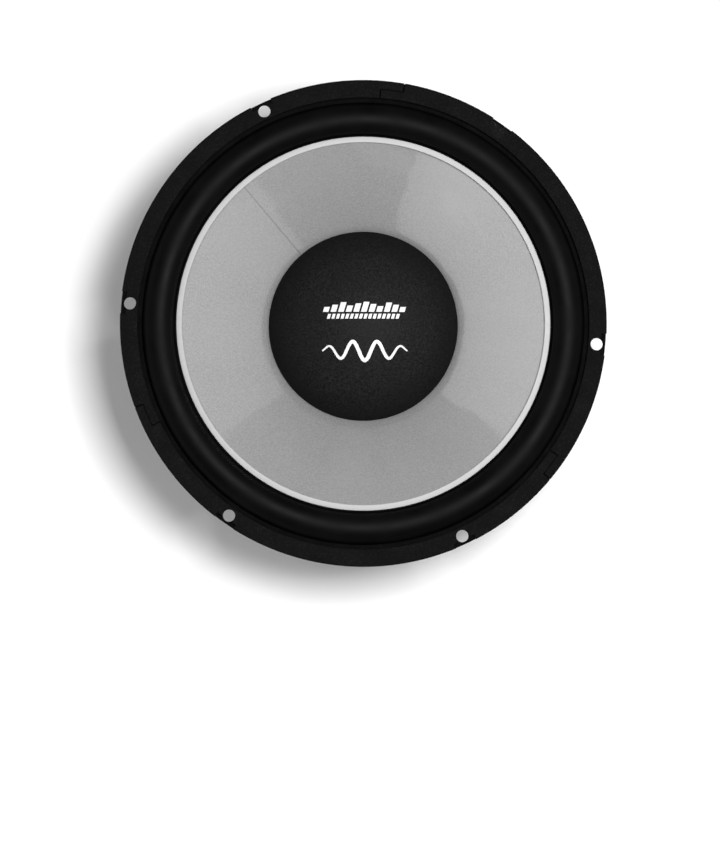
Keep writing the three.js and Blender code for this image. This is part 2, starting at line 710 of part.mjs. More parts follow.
function terminals() {
  const group = new THREE.Group();
  group.position.set(0, -BOARD_RADIUS, 0);
  group.rotation.z = radians(BOARD_TILT);
  const board = part('terminal_board', terminalBoard(), finishes.phenolic);
  board.position.z = BOARD_REAR_Z;
  group.add(board);
  const tabTop = TAB_UNDERSIDE_Z + SHEET;
  const boardRivet = turned(rivetOutline(BOARD_REAR_Z, tabTop), SMALL_ROUND);
  group.add(part('board_rivet', boardRivet, finishes.tinnedBrass));
  for (const [side, x] of [['left', -TERMINAL_OFFSET], ['right', TERMINAL_OFFSET]]) {
    const tag = part(`terminal_tag_${side}`, terminalTag(), finishes.tinnedBrass);
    tag.position.set(x, 0, TAG_FRONT_Z - TAG_THICKNESS);
    group.add(tag);
    const stack = rivetOutline(TAG_FRONT_Z - TAG_THICKNESS, BOARD_REAR_Z + BOARD_THICKNESS);
    const rivet = part(`terminal_rivet_${side}`, turned(stack, SMALL_ROUND), finishes.tinnedBrass);
    rivet.position.x = x;
    group.add(rivet);
  }
  return group;
}

const ANCHOR_RADIUS = 66;
const ANCHOR_OFFSET = 14;
const LEAD_RADIUS = 0.9;
const anchorY = -Math.sqrt(ANCHOR_RADIUS ** 2 - ANCHOR_OFFSET ** 2);
const anchorRearZ = coneZ(ANCHOR_RADIUS) - CONE_SKIN;

// A braided lead: from the root of its tag, round the board's edge and across to the cone's back.
function tinselLead(side) {
  return wire([
    [side * 15, -114.2, TAG_FRONT_Z + 1.4],
    [side * 15.2, -115.4, 84],
    [side * 15.4, -114, 89.5],
    [side * 15.2, -106, 94.5],
    [side * 14.8, -92, 96.5],
    [side * 14.3, -78, 98],
    [side * ANCHOR_OFFSET, anchorY - 5, anchorRearZ - 4.6],
    [side * ANCHOR_OFFSET, anchorY - 0.8, anchorRearZ - 3.3],
  ], LEAD_RADIUS, 6, 22);
}

// The glued joint where a lead meets the cone's back, lying along the cone's slope.
function leadAnchor() {
  const dab = new THREE.SphereGeometry(1, 10, 6);
  dab.scale(4.2, 3, 0.8);
  return geometryFrom(solidFrom(dab));
}

function coneSlope() {
  return Math.atan2(coneZ(ANCHOR_RADIUS + 5) - coneZ(ANCHOR_RADIUS - 5), 10);
}

function anchorAt(name, side) {
  const mesh = part(name, leadAnchor(), finishes.adhesive);
  const turn = Math.atan2(anchorY, side * ANCHOR_OFFSET);
  mesh.position.set(side * ANCHOR_OFFSET, anchorY, anchorRearZ - 1.1);
  mesh.rotation.set(0, -coneSlope(), turn, 'ZYX');
  return mesh;
}

// The flat coil lead that runs down the cone's back from the anchor to the neck.
function coilWire(side) {
  const turn = Math.atan2(anchorY, side * ANCHOR_OFFSET);
  const points = [];
  for (const radius of [60.5, 54, 46, 38.5]) {
    const z = coneZ(radius) - CONE_SKIN / 2 - 0.9;
    points.push([radius * Math.cos(turn), radius * Math.sin(turn), z]);
  }
  return wire(points, 0.5, 6, 6);
}

// A small paper label on the floor of the pocket of the spoke beside the terminals.
const STICKER_SPOKE_ANGLE = 240;
const STICKER_ALONG = 30;
const STICKER_TURN = 14;

function inspectionSticker() {
  const group = new THREE.Group();
  group.rotation.z = radians(STICKER_SPOKE_ANGLE);
  const paper = prism(roundedRectangle(8, 16.5, 1), 0, 0.2, 3);
  paper.rotateZ(radians(STICKER_TURN));
  const sticker = part('inspection_sticker', paper, finishes.paperLabel);
  const [r, z] = spokePoint(STICKER_ALONG, pocketDepth(STICKER_ALONG) - GAP);
  const floorSlope = (POCKET_HIGH_DEPTH - POCKET_LOW_DEPTH) / (POCKET_END - POCKET_START);
  sticker.position.set(r, 0, z);
  sticker.rotation.set(0, -Math.atan2(SPOKE_ALONG.y, SPOKE_ALONG.x) - Math.atan(floorSlope), 0);
  group.add(sticker);
  return group;
}

// ---------------------------------------------------------------- assembly

const subwoofer = new THREE.Group();
subwoofer.name = 'subwoofer';

subwoofer.add(part('t_yoke', ring(yokeOutline, MEDIUM_ROUND), finishes.brightZinc));
subwoofer.add(part('magnet', ring(magnetOutline, MEDIUM_ROUND), finishes.ferrite));
subwoofer.add(part('top_plate', topPlate(), finishes.brightZinc));
subwoofer.add(part('magnet_label', ring(labelOutline, MEDIUM_ROUND), finishes.orangeLabel));
subwoofer.add(part('pole_vent_screen', turned(ventScreenOutline, COIL_ROUND), finishes.ventMesh));
subwoofer.add(part('basket', basket(), finishes.blackPaint));

for (let i = 0; i < SCREW_COUNT; i += 1) {
  const screw = part(`basket_screw_${i + 1}`, turned(basketScrewOutline, SMALL_ROUND), finishes.screwSteel);
  screw.position.set(...polar(SCREW_CIRCLE_RADIUS, screwAngle(i)), 0);
  subwoofer.add(screw);
}

for (let i = 0; i < 3; i += 1) {
  subwoofer.add(part(`gasket_segment_${i + 1}`, gasketPiece(i), finishes.gasketRubber));
}

subwoofer.add(part('surround', ring(surroundOutline(), MEDIUM_ROUND), finishes.surroundFoam));
subwoofer.add(part('cone', ring(coneOutline(), MEDIUM_ROUND), finishes.silverPaper));
subwoofer.add(part('cone_trim_ring', ring(trimRingOutline(), MEDIUM_ROUND), finishes.whiteTrim));
subwoofer.add(part('dust_cap', turned(dustCapOutline(), MEDIUM_ROUND), finishes.blackFelt));
subwoofer.add(part('spider', ring(spiderOutline(), COIL_ROUND), finishes.spiderCloth));
subwoofer.add(part('voice_coil_former', ring(formerOutline, COIL_ROUND), finishes.kapton));
subwoofer.add(part('voice_coil_winding', ring(windingOutline, COIL_ROUND), finishes.copper));
subwoofer.add(part('neck_collar', ring(neckCollarOutline, COIL_ROUND), finishes.adhesive));

subwoofer.add(terminals());
for (const [side, sign] of [['left', -1], ['right', 1]]) {
  subwoofer.add(part(`tinsel_lead_${side}`, tinselLead(sign), finishes.tinsel));
  subwoofer.add(anchorAt(`lead_anchor_${side}`, sign));
  subwoofer.add(part(`coil_wire_${side}`, coilWire(sign), finishes.copper));
}
subwoofer.add(inspectionSticker());

export default subwoofer;
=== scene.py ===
import math

import bmesh
import bpy
import numpy as np
from mathutils import Matrix, Vector


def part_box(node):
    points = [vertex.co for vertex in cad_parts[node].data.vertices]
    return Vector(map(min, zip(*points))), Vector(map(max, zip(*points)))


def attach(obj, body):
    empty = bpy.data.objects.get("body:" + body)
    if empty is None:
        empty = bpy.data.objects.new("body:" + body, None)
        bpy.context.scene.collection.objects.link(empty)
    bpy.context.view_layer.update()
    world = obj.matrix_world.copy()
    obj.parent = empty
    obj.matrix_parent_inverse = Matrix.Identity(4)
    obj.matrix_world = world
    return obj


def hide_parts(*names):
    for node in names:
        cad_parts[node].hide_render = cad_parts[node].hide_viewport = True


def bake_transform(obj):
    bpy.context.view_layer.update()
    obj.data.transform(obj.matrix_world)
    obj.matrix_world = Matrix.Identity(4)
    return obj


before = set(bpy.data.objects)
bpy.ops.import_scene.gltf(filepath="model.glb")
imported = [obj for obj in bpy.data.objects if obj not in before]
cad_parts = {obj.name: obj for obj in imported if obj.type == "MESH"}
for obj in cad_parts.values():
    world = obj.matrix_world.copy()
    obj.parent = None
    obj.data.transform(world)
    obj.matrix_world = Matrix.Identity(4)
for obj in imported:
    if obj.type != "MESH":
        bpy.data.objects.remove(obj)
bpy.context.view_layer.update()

# A 12-inch class car subwoofer driver standing on its magnet, cone up, seen from straight above.
# Sizes below are millimetres in the shared frame; every mesh is made in metres through MM.

MM = 0.001

BASKET = "basket_assembly"
MOVING = "moving_assembly"


def low(node):
    """Lowest corner of a CAD node, in millimetres."""
    return [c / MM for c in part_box(node)[0]]


def high(node):
    """Highest corner of a CAD node, in millimetres."""
    return [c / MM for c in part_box(node)[1]]


# ---------------------------------------------------------------- sizes from the frame

SHEET = 1.8
SKIN = 1.2
flange_radius = high("basket")[0]
flange_front_z = high("basket")[2]
flange_ledge_z = flange_front_z - SHEET
flange_rear_z = flange_ledge_z - SHEET
gasket_front_z = high("gasket_segment_1")[2]
roll_crest_z = high("surround")[2]
yoke_radius = high("t_yoke")[0]
plate_rear_z = high("magnet_label")[2]
magnet_radius = high("magnet")[0]
magnet_rear_z = low("magnet")[2]
magnet_front_z = high("magnet")[2]
top_plate_radius = high("top_plate")[0]
top_plate_front_z = high("top_plate")[2]
trim_outer_radius = high("cone_trim_ring")[0]
trim_base_z = low("cone_trim_ring")[2]
cap_radius = high("dust_cap")[0]
cap_skirt_z = low("dust_cap")[2]
cap_top_z = high("dust_cap")[2]
former_radius = high("voice_coil_former")[0]
coil_low_z = low("voice_coil_winding")[2]
coil_high_z = high("voice_coil_winding")[2]

BOLT_CIRCLE_RADIUS = 148.65
BOLT_HOLE_RADIUS = 3.9
GASKET_INNER_RADIUS = 142.8
GASKET_JOINT_ANGLE = 88
GASKET_LAP = 5.6
FLAP_ANGLE = 60.0
SPOKES = 6
SPOKE_PITCH = 360 / SPOKES
ROLL_INNER = 120.0
ROLL_OUTER = 140.3
ROLL_ROUNDNESS = 0.92
TRIM_INNER = 115.0
CONE_NECK = (33.0, 85.5)
CONE_EDGE = (115.6, 146.0)
CONE_BOW = 2.2
CONE_LIP = 118.8
SEAM_ANGLE = 136.0
CAP_SKIN = 1.0
MAGNET_BORE = 41.0
GAP_BORE = 34.6
SHELF_Z = 74.0
WINDOW_INNER = 84.5
WINDOW_OUTER = 130.0
WINDOW_HALF_ANGLE = 18.0
WINDOWED_FROM_RADIUS = 80.0
TAB_UNDER_Z = 82.2
BOARD_RADIUS = 105.7
BOARD_TILT = 3.0
RIVET_HOLE_RADIUS = 1.8
SPOKE_LOW = (94.5, 83.0)
SPOKE_HIGH = (126.6, 121.0)

# ---------------------------------------------------------------- camera and light

CAMERA_TURN = 5.0
CAMERA_RIGHT = -2.1
CAMERA_UP = -67.4
CAMERA_DISTANCE = 1750.0
LENS = 115.85


def scene_object(name, data):
    made = bpy.data.objects.new(name, data)
    bpy.context.scene.collection.objects.link(made)
    return made


def make_camera():
    turn = math.radians(CAMERA_TURN)
    right = Vector((math.cos(turn), math.sin(turn), 0))
    up = Vector((-math.sin(turn), math.cos(turn), 0))
    data = bpy.data.cameras.new("camera")
    data.lens = LENS
    camera = scene_object("camera", data)
    place = right * CAMERA_RIGHT + up * CAMERA_UP + Vector((0, 0, gasket_front_z + CAMERA_DISTANCE))
    camera.matrix_world = Matrix.Translation(place * MM) @ Matrix.Rotation(turn, 4, "Z")
    bpy.context.scene.camera = camera


def area_light(name, place, target, size, power):
    data = bpy.data.lights.new(name, "AREA")
    data.shape = "RECTANGLE"
    data.size, data.size_y = size
    data.energy = power
    lamp = scene_object(name, data)
    lamp.location = place
    aim = Vector(target) - Vector(place)
    lamp.rotation_euler = aim.to_track_quat("-Z", "Y").to_euler()


def softbox(name, turn, distance, height, size, brightness):
    """A softbox that stands at an angle round the driver; brightness is the radiance of its face."""
    turn = math.radians(turn)
    place = (distance * math.cos(turn), distance * math.sin(turn), height)
    area_light(name, place, (0, 0, 0.12), size, brightness * math.pi * size[0] * size[1])


def make_sky():
    """A white room that is brighter near the horizon than overhead."""
    world = bpy.data.worlds.new("studio")
    world.use_nodes = True
    tree = world.node_tree
    background = tree.nodes["Background"]
    background.inputs["Strength"].default_value = 0.52
    place = tree.nodes.new("ShaderNodeTexCoord")
    split = tree.nodes.new("ShaderNodeSeparateXYZ")
    ramp = tree.nodes.new("ShaderNodeValToRGB")
    ramp.color_ramp.elements[0].position = 0.3
    ramp.color_ramp.elements[0].color = (1, 1, 1, 1)
    ramp.color_ramp.elements[1].position = 1.0
    ramp.color_ramp.elements[1].color = (0.15, 0.15, 0.15, 1)
    middle = ramp.color_ramp.elements.new(0.75)
    middle.color = (0.25, 0.25, 0.25, 1)
    tree.links.new(place.outputs["Generated"], split.inputs[0])
    tree.links.new(split.outputs[2], ramp.inputs[0])
    tree.links.new(ramp.outputs[0], background.inputs["Color"])
    bpy.context.scene.world = world
    bpy.context.scene.view_settings.view_transform = "Standard"


def make_studio():
    """A soft key from the upper right, and a wide softbox on the left and on the right."""
    area_light("key_upper_right", (0.211, 0.088, 1.6), (0, 0, 0), (0.28, 0.28), 24)
    softbox("softbox_left", 200, 1.5, 0.65, (4.2, 1.0), 0.95)
    softbox("softbox_right", 0, 1.5, 0.65, (3.0, 1.0), 0.62)
    make_sky()


make_camera()
make_studio()

# ---------------------------------------------------------------- mesh helpers


def grid(points, wrap_u=True, wrap_v=False):
    """Vertices and quads of a (u, v) array of points, closed in u or v where asked."""
    count_u, count_v = points.shape[:2]
    index = np.arange(count_u * count_v).reshape(count_u, count_v)
    if wrap_u:
        index = np.concatenate([index, index[:1]], axis=0)
    if wrap_v:
        index = np.concatenate([index, index[:, :1]], axis=1)
    quads = np.stack([index[:-1, :-1], index[1:, :-1], index[1:, 1:], index[:-1, 1:]], axis=-1)
    return points.reshape(-1, 3), quads.reshape(-1, 4)


def rounded(outline, closed=True, steps=5):
    """Turns each corner with a third value into a curve that starts that far from the corner."""
    result = []
    count = len(outline)
    for i, corner in enumerate(outline):
        here = np.array(corner[:2], float)
        if len(corner) < 3 or (not closed and i in (0, count - 1)):
            result.append(here)
            continue
        before = np.array(outline[i - 1][:2], float)
        after = np.array(outline[(i + 1) % count][:2], float)
        reach_before = min(corner[2], np.linalg.norm(before - here) * 0.49)
        reach_after = min(corner[2], np.linalg.norm(after - here) * 0.49)
        start = here + (before - here) / np.linalg.norm(before - here) * reach_before
        end = here + (after - here) / np.linalg.norm(after - here) * reach_after
        for t in np.linspace(0, 1, steps + 1):
            result.append((1 - t) ** 2 * start + 2 * t * (1 - t) * here + t * t * end)
    return np.array(result)


def polar(radius, turn, height):
    """Points at a distance from the axis, an angle in radians and a height, in arrays of one shape."""
    return np.stack(np.broadcast_arrays(radius * np.cos(turn), radius * np.sin(turn), height), axis=-1)


def lathe(outline, segments=240, closed=True):
    """A profile of (radius, z) points turned about the axis."""
    outline = np.asarray(outline, float)
    turns = np.radians(np.linspace(0, 360, segments, endpoint=False))
    vertices, faces = grid(polar(outline[:, 0], turns[:, None], outline[:, 1]), wrap_v=closed)
    return vertices, faces.tolist()


def lengths_along(path):
    """The distance along a path at each of its points."""
    return np.concatenate([[0], np.cumsum(np.linalg.norm(np.diff(path, axis=0), axis=1))])


def tangents_along(path):
    """Unit tangents at the points of a path."""
    tangents = np.gradient(path, axis=0)
    return tangents / np.linalg.norm(tangents, axis=1)[:, None]


def frames_along(path):
    """Two cross directions at each point of a path, turning as little as they can."""
    tangents = tangents_along(path)
    side = np.cross(tangents[0], (0.13, 0.27, 0.95))
    sides = []
    for tangent in tangents:
        side = side - tangent * np.dot(side, tangent)
        side = side / np.linalg.norm(side)
        sides.append(side)
    sides = np.array(sides)
    return sides, np.cross(tangents, sides)


def tube(path, radius, sides):
    """A round tube along a path, closed at both ends."""
    path = np.asarray(path, float)
    first, second = frames_along(path)
    turns = np.linspace(0, 2 * math.pi, sides, endpoint=False)
    across = np.cos(turns)[None, :, None] * first[:, None, :]
    ring = across + np.sin(turns)[None, :, None] * second[:, None, :]
    points = path[:, None, :] + ring * radius
    vertices, faces = grid(points, wrap_u=False, wrap_v=True)
    faces = faces.tolist()
    faces.append(list(range(sides)))
    faces.append(list(range(len(vertices) - sides, len(vertices))))
    return vertices, faces


def smooth_path(points, count):
    """A Catmull-Rom curve through points, sampled evenly in its parameter."""
    points = np.asarray(points, float)
    padded = np.vstack([2 * points[0] - points[1], points, 2 * points[-1] - points[-2]])
    result = []
    for t in np.linspace(0, len(points) - 1, count):
        i = min(int(t), len(points) - 2)
        u = t - i
        a, b, c, d = padded[i:i + 4]
        result.append(0.5 * (2 * b + (c - a) * u + (2 * a - 5 * b + 4 * c - d) * u ** 2
                             + (3 * b - a - 3 * c + d) * u ** 3))
    return np.array(result)


def joined(*parts):
    """Several (vertices, faces) pairs as one."""
    vertices, faces, base = [], [], 0
    for some_vertices, some_faces in parts:
        vertices.append(np.asarray(some_vertices, float))
        faces.extend([[i + base for i in face] for face in some_faces])
        base += len(some_vertices)
    return np.vstack(vertices), faces


def turn_about_z(angle):
    """The matrix of a turn about Z by an angle in radians."""
    c, s = math.cos(angle), math.sin(angle)
    return np.array([[c, -s, 0], [s, c, 0], [0, 0, 1]])


def moved(part, turn=0.0, shift=(0, 0, 0)):
    """A (vertices, faces) pair turned about Z by degrees, then shifted."""
    vertices, faces = part
    return np.asarray(vertices) @ turn_about_z(math.radians(turn)).T + np.array(shift), faces


def shade(mesh, sharp):
    """Smooth shading, with a hard edge where two faces meet at more than the sharp angle in degrees."""
    mesh.shade_smooth()
    mesh.set_sharp_from_angle(angle=math.radians(sharp))


def evaluated_mesh(piece):
    """An object's mesh with its modifiers, or with a curve's depth and bevel, worked in."""
    graph = bpy.context.evaluated_depsgraph_get()
    return bpy.data.meshes.new_from_object(piece.evaluated_get(graph), depsgraph=graph)


def add_piece(name, part, material, body, replaces=(), sharp=40.0, merge=True):
    """A mesh object from a (vertices, faces) pair, shaded smooth below the sharp angle, riding on body."""
    vertices, faces = part
    mesh = bpy.data.meshes.new(name)
    mesh.from_pydata((np.asarray(vertices) * MM).tolist(), [], [list(f) for f in faces])
    work = bmesh.new()
    work.from_mesh(mesh)
    if merge:
        bmesh.ops.remove_doubles(work, verts=work.verts, dist=2e-6)
        bmesh.ops.dissolve_degenerate(work, edges=work.edges, dist=1e-7)
    bmesh.ops.recalc_face_normals(work, faces=work.faces)
    work.to_mesh(mesh)
    work.free()
    mesh.materials.append(material)
    shade(mesh, sharp)
    piece = scene_object(name, mesh)
    if body:
        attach(piece, body)
    if replaces:
        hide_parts(*replaces)
    return piece


def second_material(piece, material, picks):
    """Gives a piece a second material on the faces that a test picks."""
    piece.data.materials.append(material)
    for face in piece.data.polygons:
        face.material_index = int(picks(face))


def from_axis(face):
    """A face's distance from the axis, in metres."""
    return math.hypot(*face.center[:2])


def applied(piece):
    """Puts a piece's modifiers into its mesh."""
    mesh = evaluated_mesh(piece)
    mesh.name = piece.name
    piece.modifiers.clear()
    piece.data = mesh


def plate(outlines, thickness, bevel=0.15, z=0.0):
    """A flat plate from closed 2-D outlines (the first outside, the others holes) with rounded edges."""
    curve = bpy.data.curves.new("plate", "CURVE")
    curve.dimensions = "2D"
    curve.fill_mode = "BOTH"
    curve.extrude = (thickness / 2 - bevel) * MM
    curve.bevel_depth = bevel * MM
    curve.bevel_resolution = 2
    curve.offset = -bevel * MM
    for outline in outlines:
        spline = curve.splines.new("POLY")
        spline.points.add(len(outline) - 1)
        for point, (x, y) in zip(spline.points, outline):
            point.co = (x * MM, y * MM, 0, 1)
        spline.use_cyclic_u = True
    holder = scene_object("plate", curve)
    mesh = evaluated_mesh(holder)
    vertices = np.array([v.co[:] for v in mesh.vertices]) / MM + np.array([0, 0, z + thickness / 2])
    faces = [list(p.vertices) for p in mesh.polygons]
    bpy.data.objects.remove(holder)
    bpy.data.meshes.remove(mesh)
    bpy.data.curves.remove(curve)
    return vertices, faces


def circle(radius, centre=(0, 0), count=32):
    turns = np.linspace(0, 2 * math.pi, count, endpoint=False)
    return [(centre[0] + radius * math.cos(t), centre[1] + radius * math.sin(t)) for t in turns]


def rounded_rectangle(length, width, corner):
    x, y = length / 2, width / 2
    return rounded([(-x, -y, corner), (x, -y, corner), (x, y, corner), (-x, y, corner)])


def arc(radius, first, last, count):
    """Points on a circle from one angle in degrees to another."""
    turns = np.radians(np.linspace(first, last, count))
    return [(radius * math.cos(t), radius * math.sin(t)) for t in turns]


def tilt_up(slope):
    """The matrix that lifts +X towards +Z by an angle in radians."""
    c, s = math.cos(slope), math.sin(slope)
    return np.array([[c, 0, -s], [0, 1, 0], [s, 0, c]])


def smoothstep(t):
    t = np.clip(t, 0, 1)
    return t * t * (3 - 2 * t)


# ---------------------------------------------------------------- material helpers


class Recipe:
    """A material under construction, with short names for the nodes it needs."""

    def __init__(self, name, colour, roughness, metallic=0.0, **sockets):
        self.material = bpy.data.materials.new(name)
        self.material.use_nodes = True
        self.tree = self.material.node_tree
        self.shader = self.tree.nodes["Principled BSDF"]
        self.shader.inputs["Base Color"].default_value = (*colour, 1)
        self.shader.inputs["Roughness"].default_value = roughness
        self.shader.inputs["Metallic"].default_value = metallic
        for socket, value in sockets.items():
            self.shader.inputs[socket.replace("_", " ")].default_value = value
        self.place = self.node("ShaderNodeTexCoord").outputs["Object"]
        self.normal = None

    def node(self, kind, **settings):
        made = self.tree.nodes.new(kind)
        for key, value in settings.items():
            setattr(made, key, value)
        return made

    def set(self, socket, value):
        if isinstance(value, bpy.types.NodeSocket):
            self.tree.links.new(value, socket)
        else:
            socket.default_value = value

    def maths(self, operation, first, second=0.0):
        made = self.node("ShaderNodeMath", operation=operation)
        self.set(made.inputs[0], first)
        self.set(made.inputs[1], second)
        return made.outputs[0]

    def noise(self, scale, detail=4.0, roughness=0.5, vector=None, distortion=0.0):
        made = self.node("ShaderNodeTexNoise")
        self.set(made.inputs["Vector"], vector or self.place)
        made.inputs["Scale"].default_value = scale
        made.inputs["Detail"].default_value = detail
        made.inputs["Roughness"].default_value = roughness
        made.inputs["Distortion"].default_value = distortion
        return made.outputs["Fac"]

    def cells(self, scale):
        made = self.node("ShaderNodeTexVoronoi")
        self.set(made.inputs["Vector"], self.place)
        made.inputs["Scale"].default_value = scale
        return made.outputs["Distance"]

    def remap(self, value, low_in, high_in, low_out, high_out):
        made = self.node("ShaderNodeMapRange")
        for key, number in zip(("From Min", "From Max", "To Min", "To Max"),
                               (low_in, high_in, low_out, high_out)):
            made.inputs[key].default_value = number
        self.set(made.inputs["Value"], value)
        return made.outputs["Result"]

    def blend_colours(self, share, first, second):
        made = self.node("ShaderNodeMix", data_type="RGBA")
        self.set(made.inputs[0], share)
        for socket, value in ((made.inputs[6], first), (made.inputs[7], second)):
            self.set(socket, (*value, 1) if isinstance(value, tuple) and len(value) == 3 else value)
        return made.outputs[2]

    def between(self, value, start, end, most, first, second):
        """The first colour up to a value's start, and the second by at most that share from its end on."""
        return self.blend_colours(self.remap(value, start, end, 0, most), first, second)

    def parts_of_place(self):
        made = self.node("ShaderNodeSeparateXYZ")
        self.set(made.inputs[0], self.place)
        return made.outputs[0], made.outputs[1], made.outputs[2]

    def distance_from_axis(self):
        x, y, _ = self.parts_of_place()
        squares = self.maths("ADD", self.maths("MULTIPLY", x, x), self.maths("MULTIPLY", y, y))
        return self.maths("SQRT", squares)

    def around(self, frequency_radius):
        """Noise coordinates with no seam: the direction from the axis times a size, plus the radius in Z."""
        x, y, _ = self.parts_of_place()
        radius = self.distance_from_axis()
        safe = self.maths("MAXIMUM", radius, 1e-4)
        made = self.node("ShaderNodeCombineXYZ")
        self.set(made.inputs[0], self.maths("MULTIPLY", self.maths("DIVIDE", x, safe), frequency_radius))
        self.set(made.inputs[1], self.maths("MULTIPLY", self.maths("DIVIDE", y, safe), frequency_radius))
        self.set(made.inputs[2], radius)
        return made.outputs[0]

    def colour(self, value):
        self.set(self.shader.inputs["Base Color"], value)

    def rough(self, value):
        self.set(self.shader.inputs["Roughness"], value)

    def finished(self, colour, texture, smoothest, roughest, *bumps):
        """Sets the colour, a roughness that follows a texture, and the bumps, and gives the material."""
        self.colour(colour)
        self.rough(self.remap(texture, 0.3, 0.7, smoothest, roughest))
        for bump in bumps:
            self.bump(*bump)
        return self.material

    def bump(self, height, distance_mm, strength):
        made = self.node("ShaderNodeBump")
        made.inputs["Strength"].default_value = strength
        made.inputs["Distance"].default_value = distance_mm * MM
        self.set(made.inputs["Height"], height)
        if self.normal is not None:
            self.tree.links.new(self.normal, made.inputs["Normal"])
        self.normal = made.outputs["Normal"]
        self.tree.links.new(self.normal, self.shader.inputs["Normal"])

    def coat_bump(self, height, distance_mm):
        made = self.node("ShaderNodeBump")
        made.inputs["Distance"].default_value = distance_mm * MM
        self.set(made.inputs["Height"], height)
        self.tree.links.new(made.outputs["Normal"], self.shader.inputs["Coat Normal"])

    def radial_tangent(self):
        made = self.node("ShaderNodeTangent", direction_type="RADIAL", axis="Z")
        self.tree.links.new(made.outputs["Tangent"], self.shader.inputs["Tangent"])


def grey(value):
    return (value, value, value)


# ---------------------------------------------------------------- materials


def black_paint():
    """Satin black paint on pressed steel: faint orange peel, paler dust and rubbed high spots."""
    recipe = Recipe("black_paint", grey(0.01), 0.42, Specular_IOR_Level=0.28)
    dust = recipe.noise(38, 6, 0.62)
    fine = recipe.noise(900, 3, 0.6)
    share = recipe.remap(dust, 0.45, 0.78, 0.0, 1.0)
    recipe.colour(recipe.blend_colours(share, (0.0055, 0.0055, 0.0058), (0.013, 0.013, 0.0134)))
    recipe.rough(recipe.remap(recipe.maths("ADD", dust, fine), 0.6, 1.4, 0.3, 0.5))
    recipe.bump(fine, 0.03, 0.5)
    recipe.bump(recipe.noise(150, 2, 0.5), 0.12, 0.35)
    return recipe.material


def painted_shade_rim_paint():
    """The same paint made darker and matte, a painted shade, on the flange, in the gasket's notches and under
    the surround's foot; rubbed at the edge.
    """
    recipe = Recipe("painted_shade_rim_paint", grey(0.002), 0.7, Specular_IOR_Level=0.05)
    dust = recipe.noise(60, 5, 0.62)
    fine = recipe.noise(900, 3, 0.6)
    return recipe.finished(recipe.between(dust, 0.4, 0.75, 1, grey(0.0008), grey(0.003)), fine, 0.66, 0.82,
                           (fine, 0.03, 0.5))


def gasket_rubber():
    """Matte black sponge rubber with a pitted skin."""
    recipe = Recipe("gasket_rubber", grey(0.005), 0.85, Specular_IOR_Level=0.1)
    pits = recipe.cells(1100)
    cloud = recipe.noise(60, 5, 0.6)
    grain = recipe.noise(880, 3, 0.7)
    base = recipe.between(cloud, 0.35, 0.7, 1, grey(0.0008), grey(0.0022))
    return recipe.finished(recipe.between(grain, 0.5, 0.68, 1, base, grey(0.0066)), cloud, 0.72, 0.92,
                           (pits, 0.08, 0.5), (recipe.noise(320, 4, 0.6), 0.1, 0.4))


def scuffed_rubber():
    """The gasket's rubber with pale scratches."""
    recipe = Recipe("scuffed_rubber", grey(0.005), 0.8, Specular_IOR_Level=0.1)
    scratches = recipe.noise(330, 5, 0.7, distortion=2.2)
    return recipe.finished(recipe.between(scratches, 0.56, 0.68, 1, grey(0.003), grey(0.035)),
                           scratches, 0.7, 0.9, (scratches, 0.15, 0.5))


def surround_rubber():
    """Smooth black rubber with a soft sheen and faint moulding ripples round the roll."""
    recipe = Recipe("surround_rubber", grey(0.002), 0.5, Specular_IOR_Level=0.052)
    cloud = recipe.noise(45, 4, 0.55)
    return recipe.finished(recipe.between(cloud, 0.35, 0.7, 1, grey(0.0008), grey(0.002)), cloud, 0.45, 0.55,
                           (recipe.noise(1400, 3, 0.6), 0.03, 0.6), (recipe.noise(70, 2, 0.4), 0.3, 0.12))


def silver_cone(name="silver_cone", base_grey=0.275):
    """Silver coated paper under clear lacquer: flake grain, faint clouding, soft radial streaks that are
    partly the coating's tone and partly painted reflection, and a slightly wavy gloss.
    """
    recipe = Recipe(name, grey(base_grey), 0.4, 0.35, Coat_Weight=1.0, Coat_Roughness=0.07, Coat_IOR=1.6)
    vector = recipe.around(1.0)
    # Soft radial streaks in the colour: partly the coating's own tone, partly painted reflection.
    streaks_and_painted_reflection = recipe.noise(3.2, 2, 0.4, vector=vector)
    fine_streaks = recipe.noise(26, 3, 0.55, vector=vector)
    grain = recipe.noise(950, 3, 0.75)
    cloud = recipe.noise(16, 5, 0.6)
    wave = recipe.noise(24, 2, 0.45, distortion=0.6)
    darker, lighter = grey(base_grey * 0.95), grey(base_grey * 1.05)
    base = recipe.between(streaks_and_painted_reflection, 0.35, 0.65, 1, darker, lighter)
    base = recipe.between(grain, 0.35, 0.65, 1.0, base, grey(base_grey * 1.34))
    base = recipe.between(cloud, 0.5, 0.8, 0.15, base, grey(base_grey * 0.75))
    pools = recipe.noise(9, 5, 0.6, distortion=1.4)
    base = recipe.between(pools, 0.56, 0.64, 0.22, base, grey(base_grey * 1.45))
    recipe.colour(base)
    roughness = recipe.maths("ADD", recipe.remap(fine_streaks, 0.3, 0.7, -0.02, 0.02),
                             recipe.remap(grain, 0.3, 0.7, 0.36, 0.44))
    recipe.rough(roughness)
    recipe.bump(grain, 0.02, 0.4)
    recipe.coat_bump(wave, 0.5)
    return recipe.material


def cone_back_paper():
    """Pressed dark grey cone paper with fibres."""
    recipe = Recipe("cone_back_paper", grey(0.1), 0.5, Sheen_Weight=0.1, Sheen_Roughness=0.4)
    fibres = recipe.noise(260, 6, 0.75, distortion=1.2)
    cloud = recipe.noise(30, 4, 0.6)
    base = recipe.between(fibres, 0.35, 0.7, 1, grey(0.075), grey(0.13))
    return recipe.finished(recipe.between(cloud, 0.4, 0.8, 0.4, base, grey(0.05)), fibres, 0.48, 0.66,
                           (fibres, 0.12, 0.5))


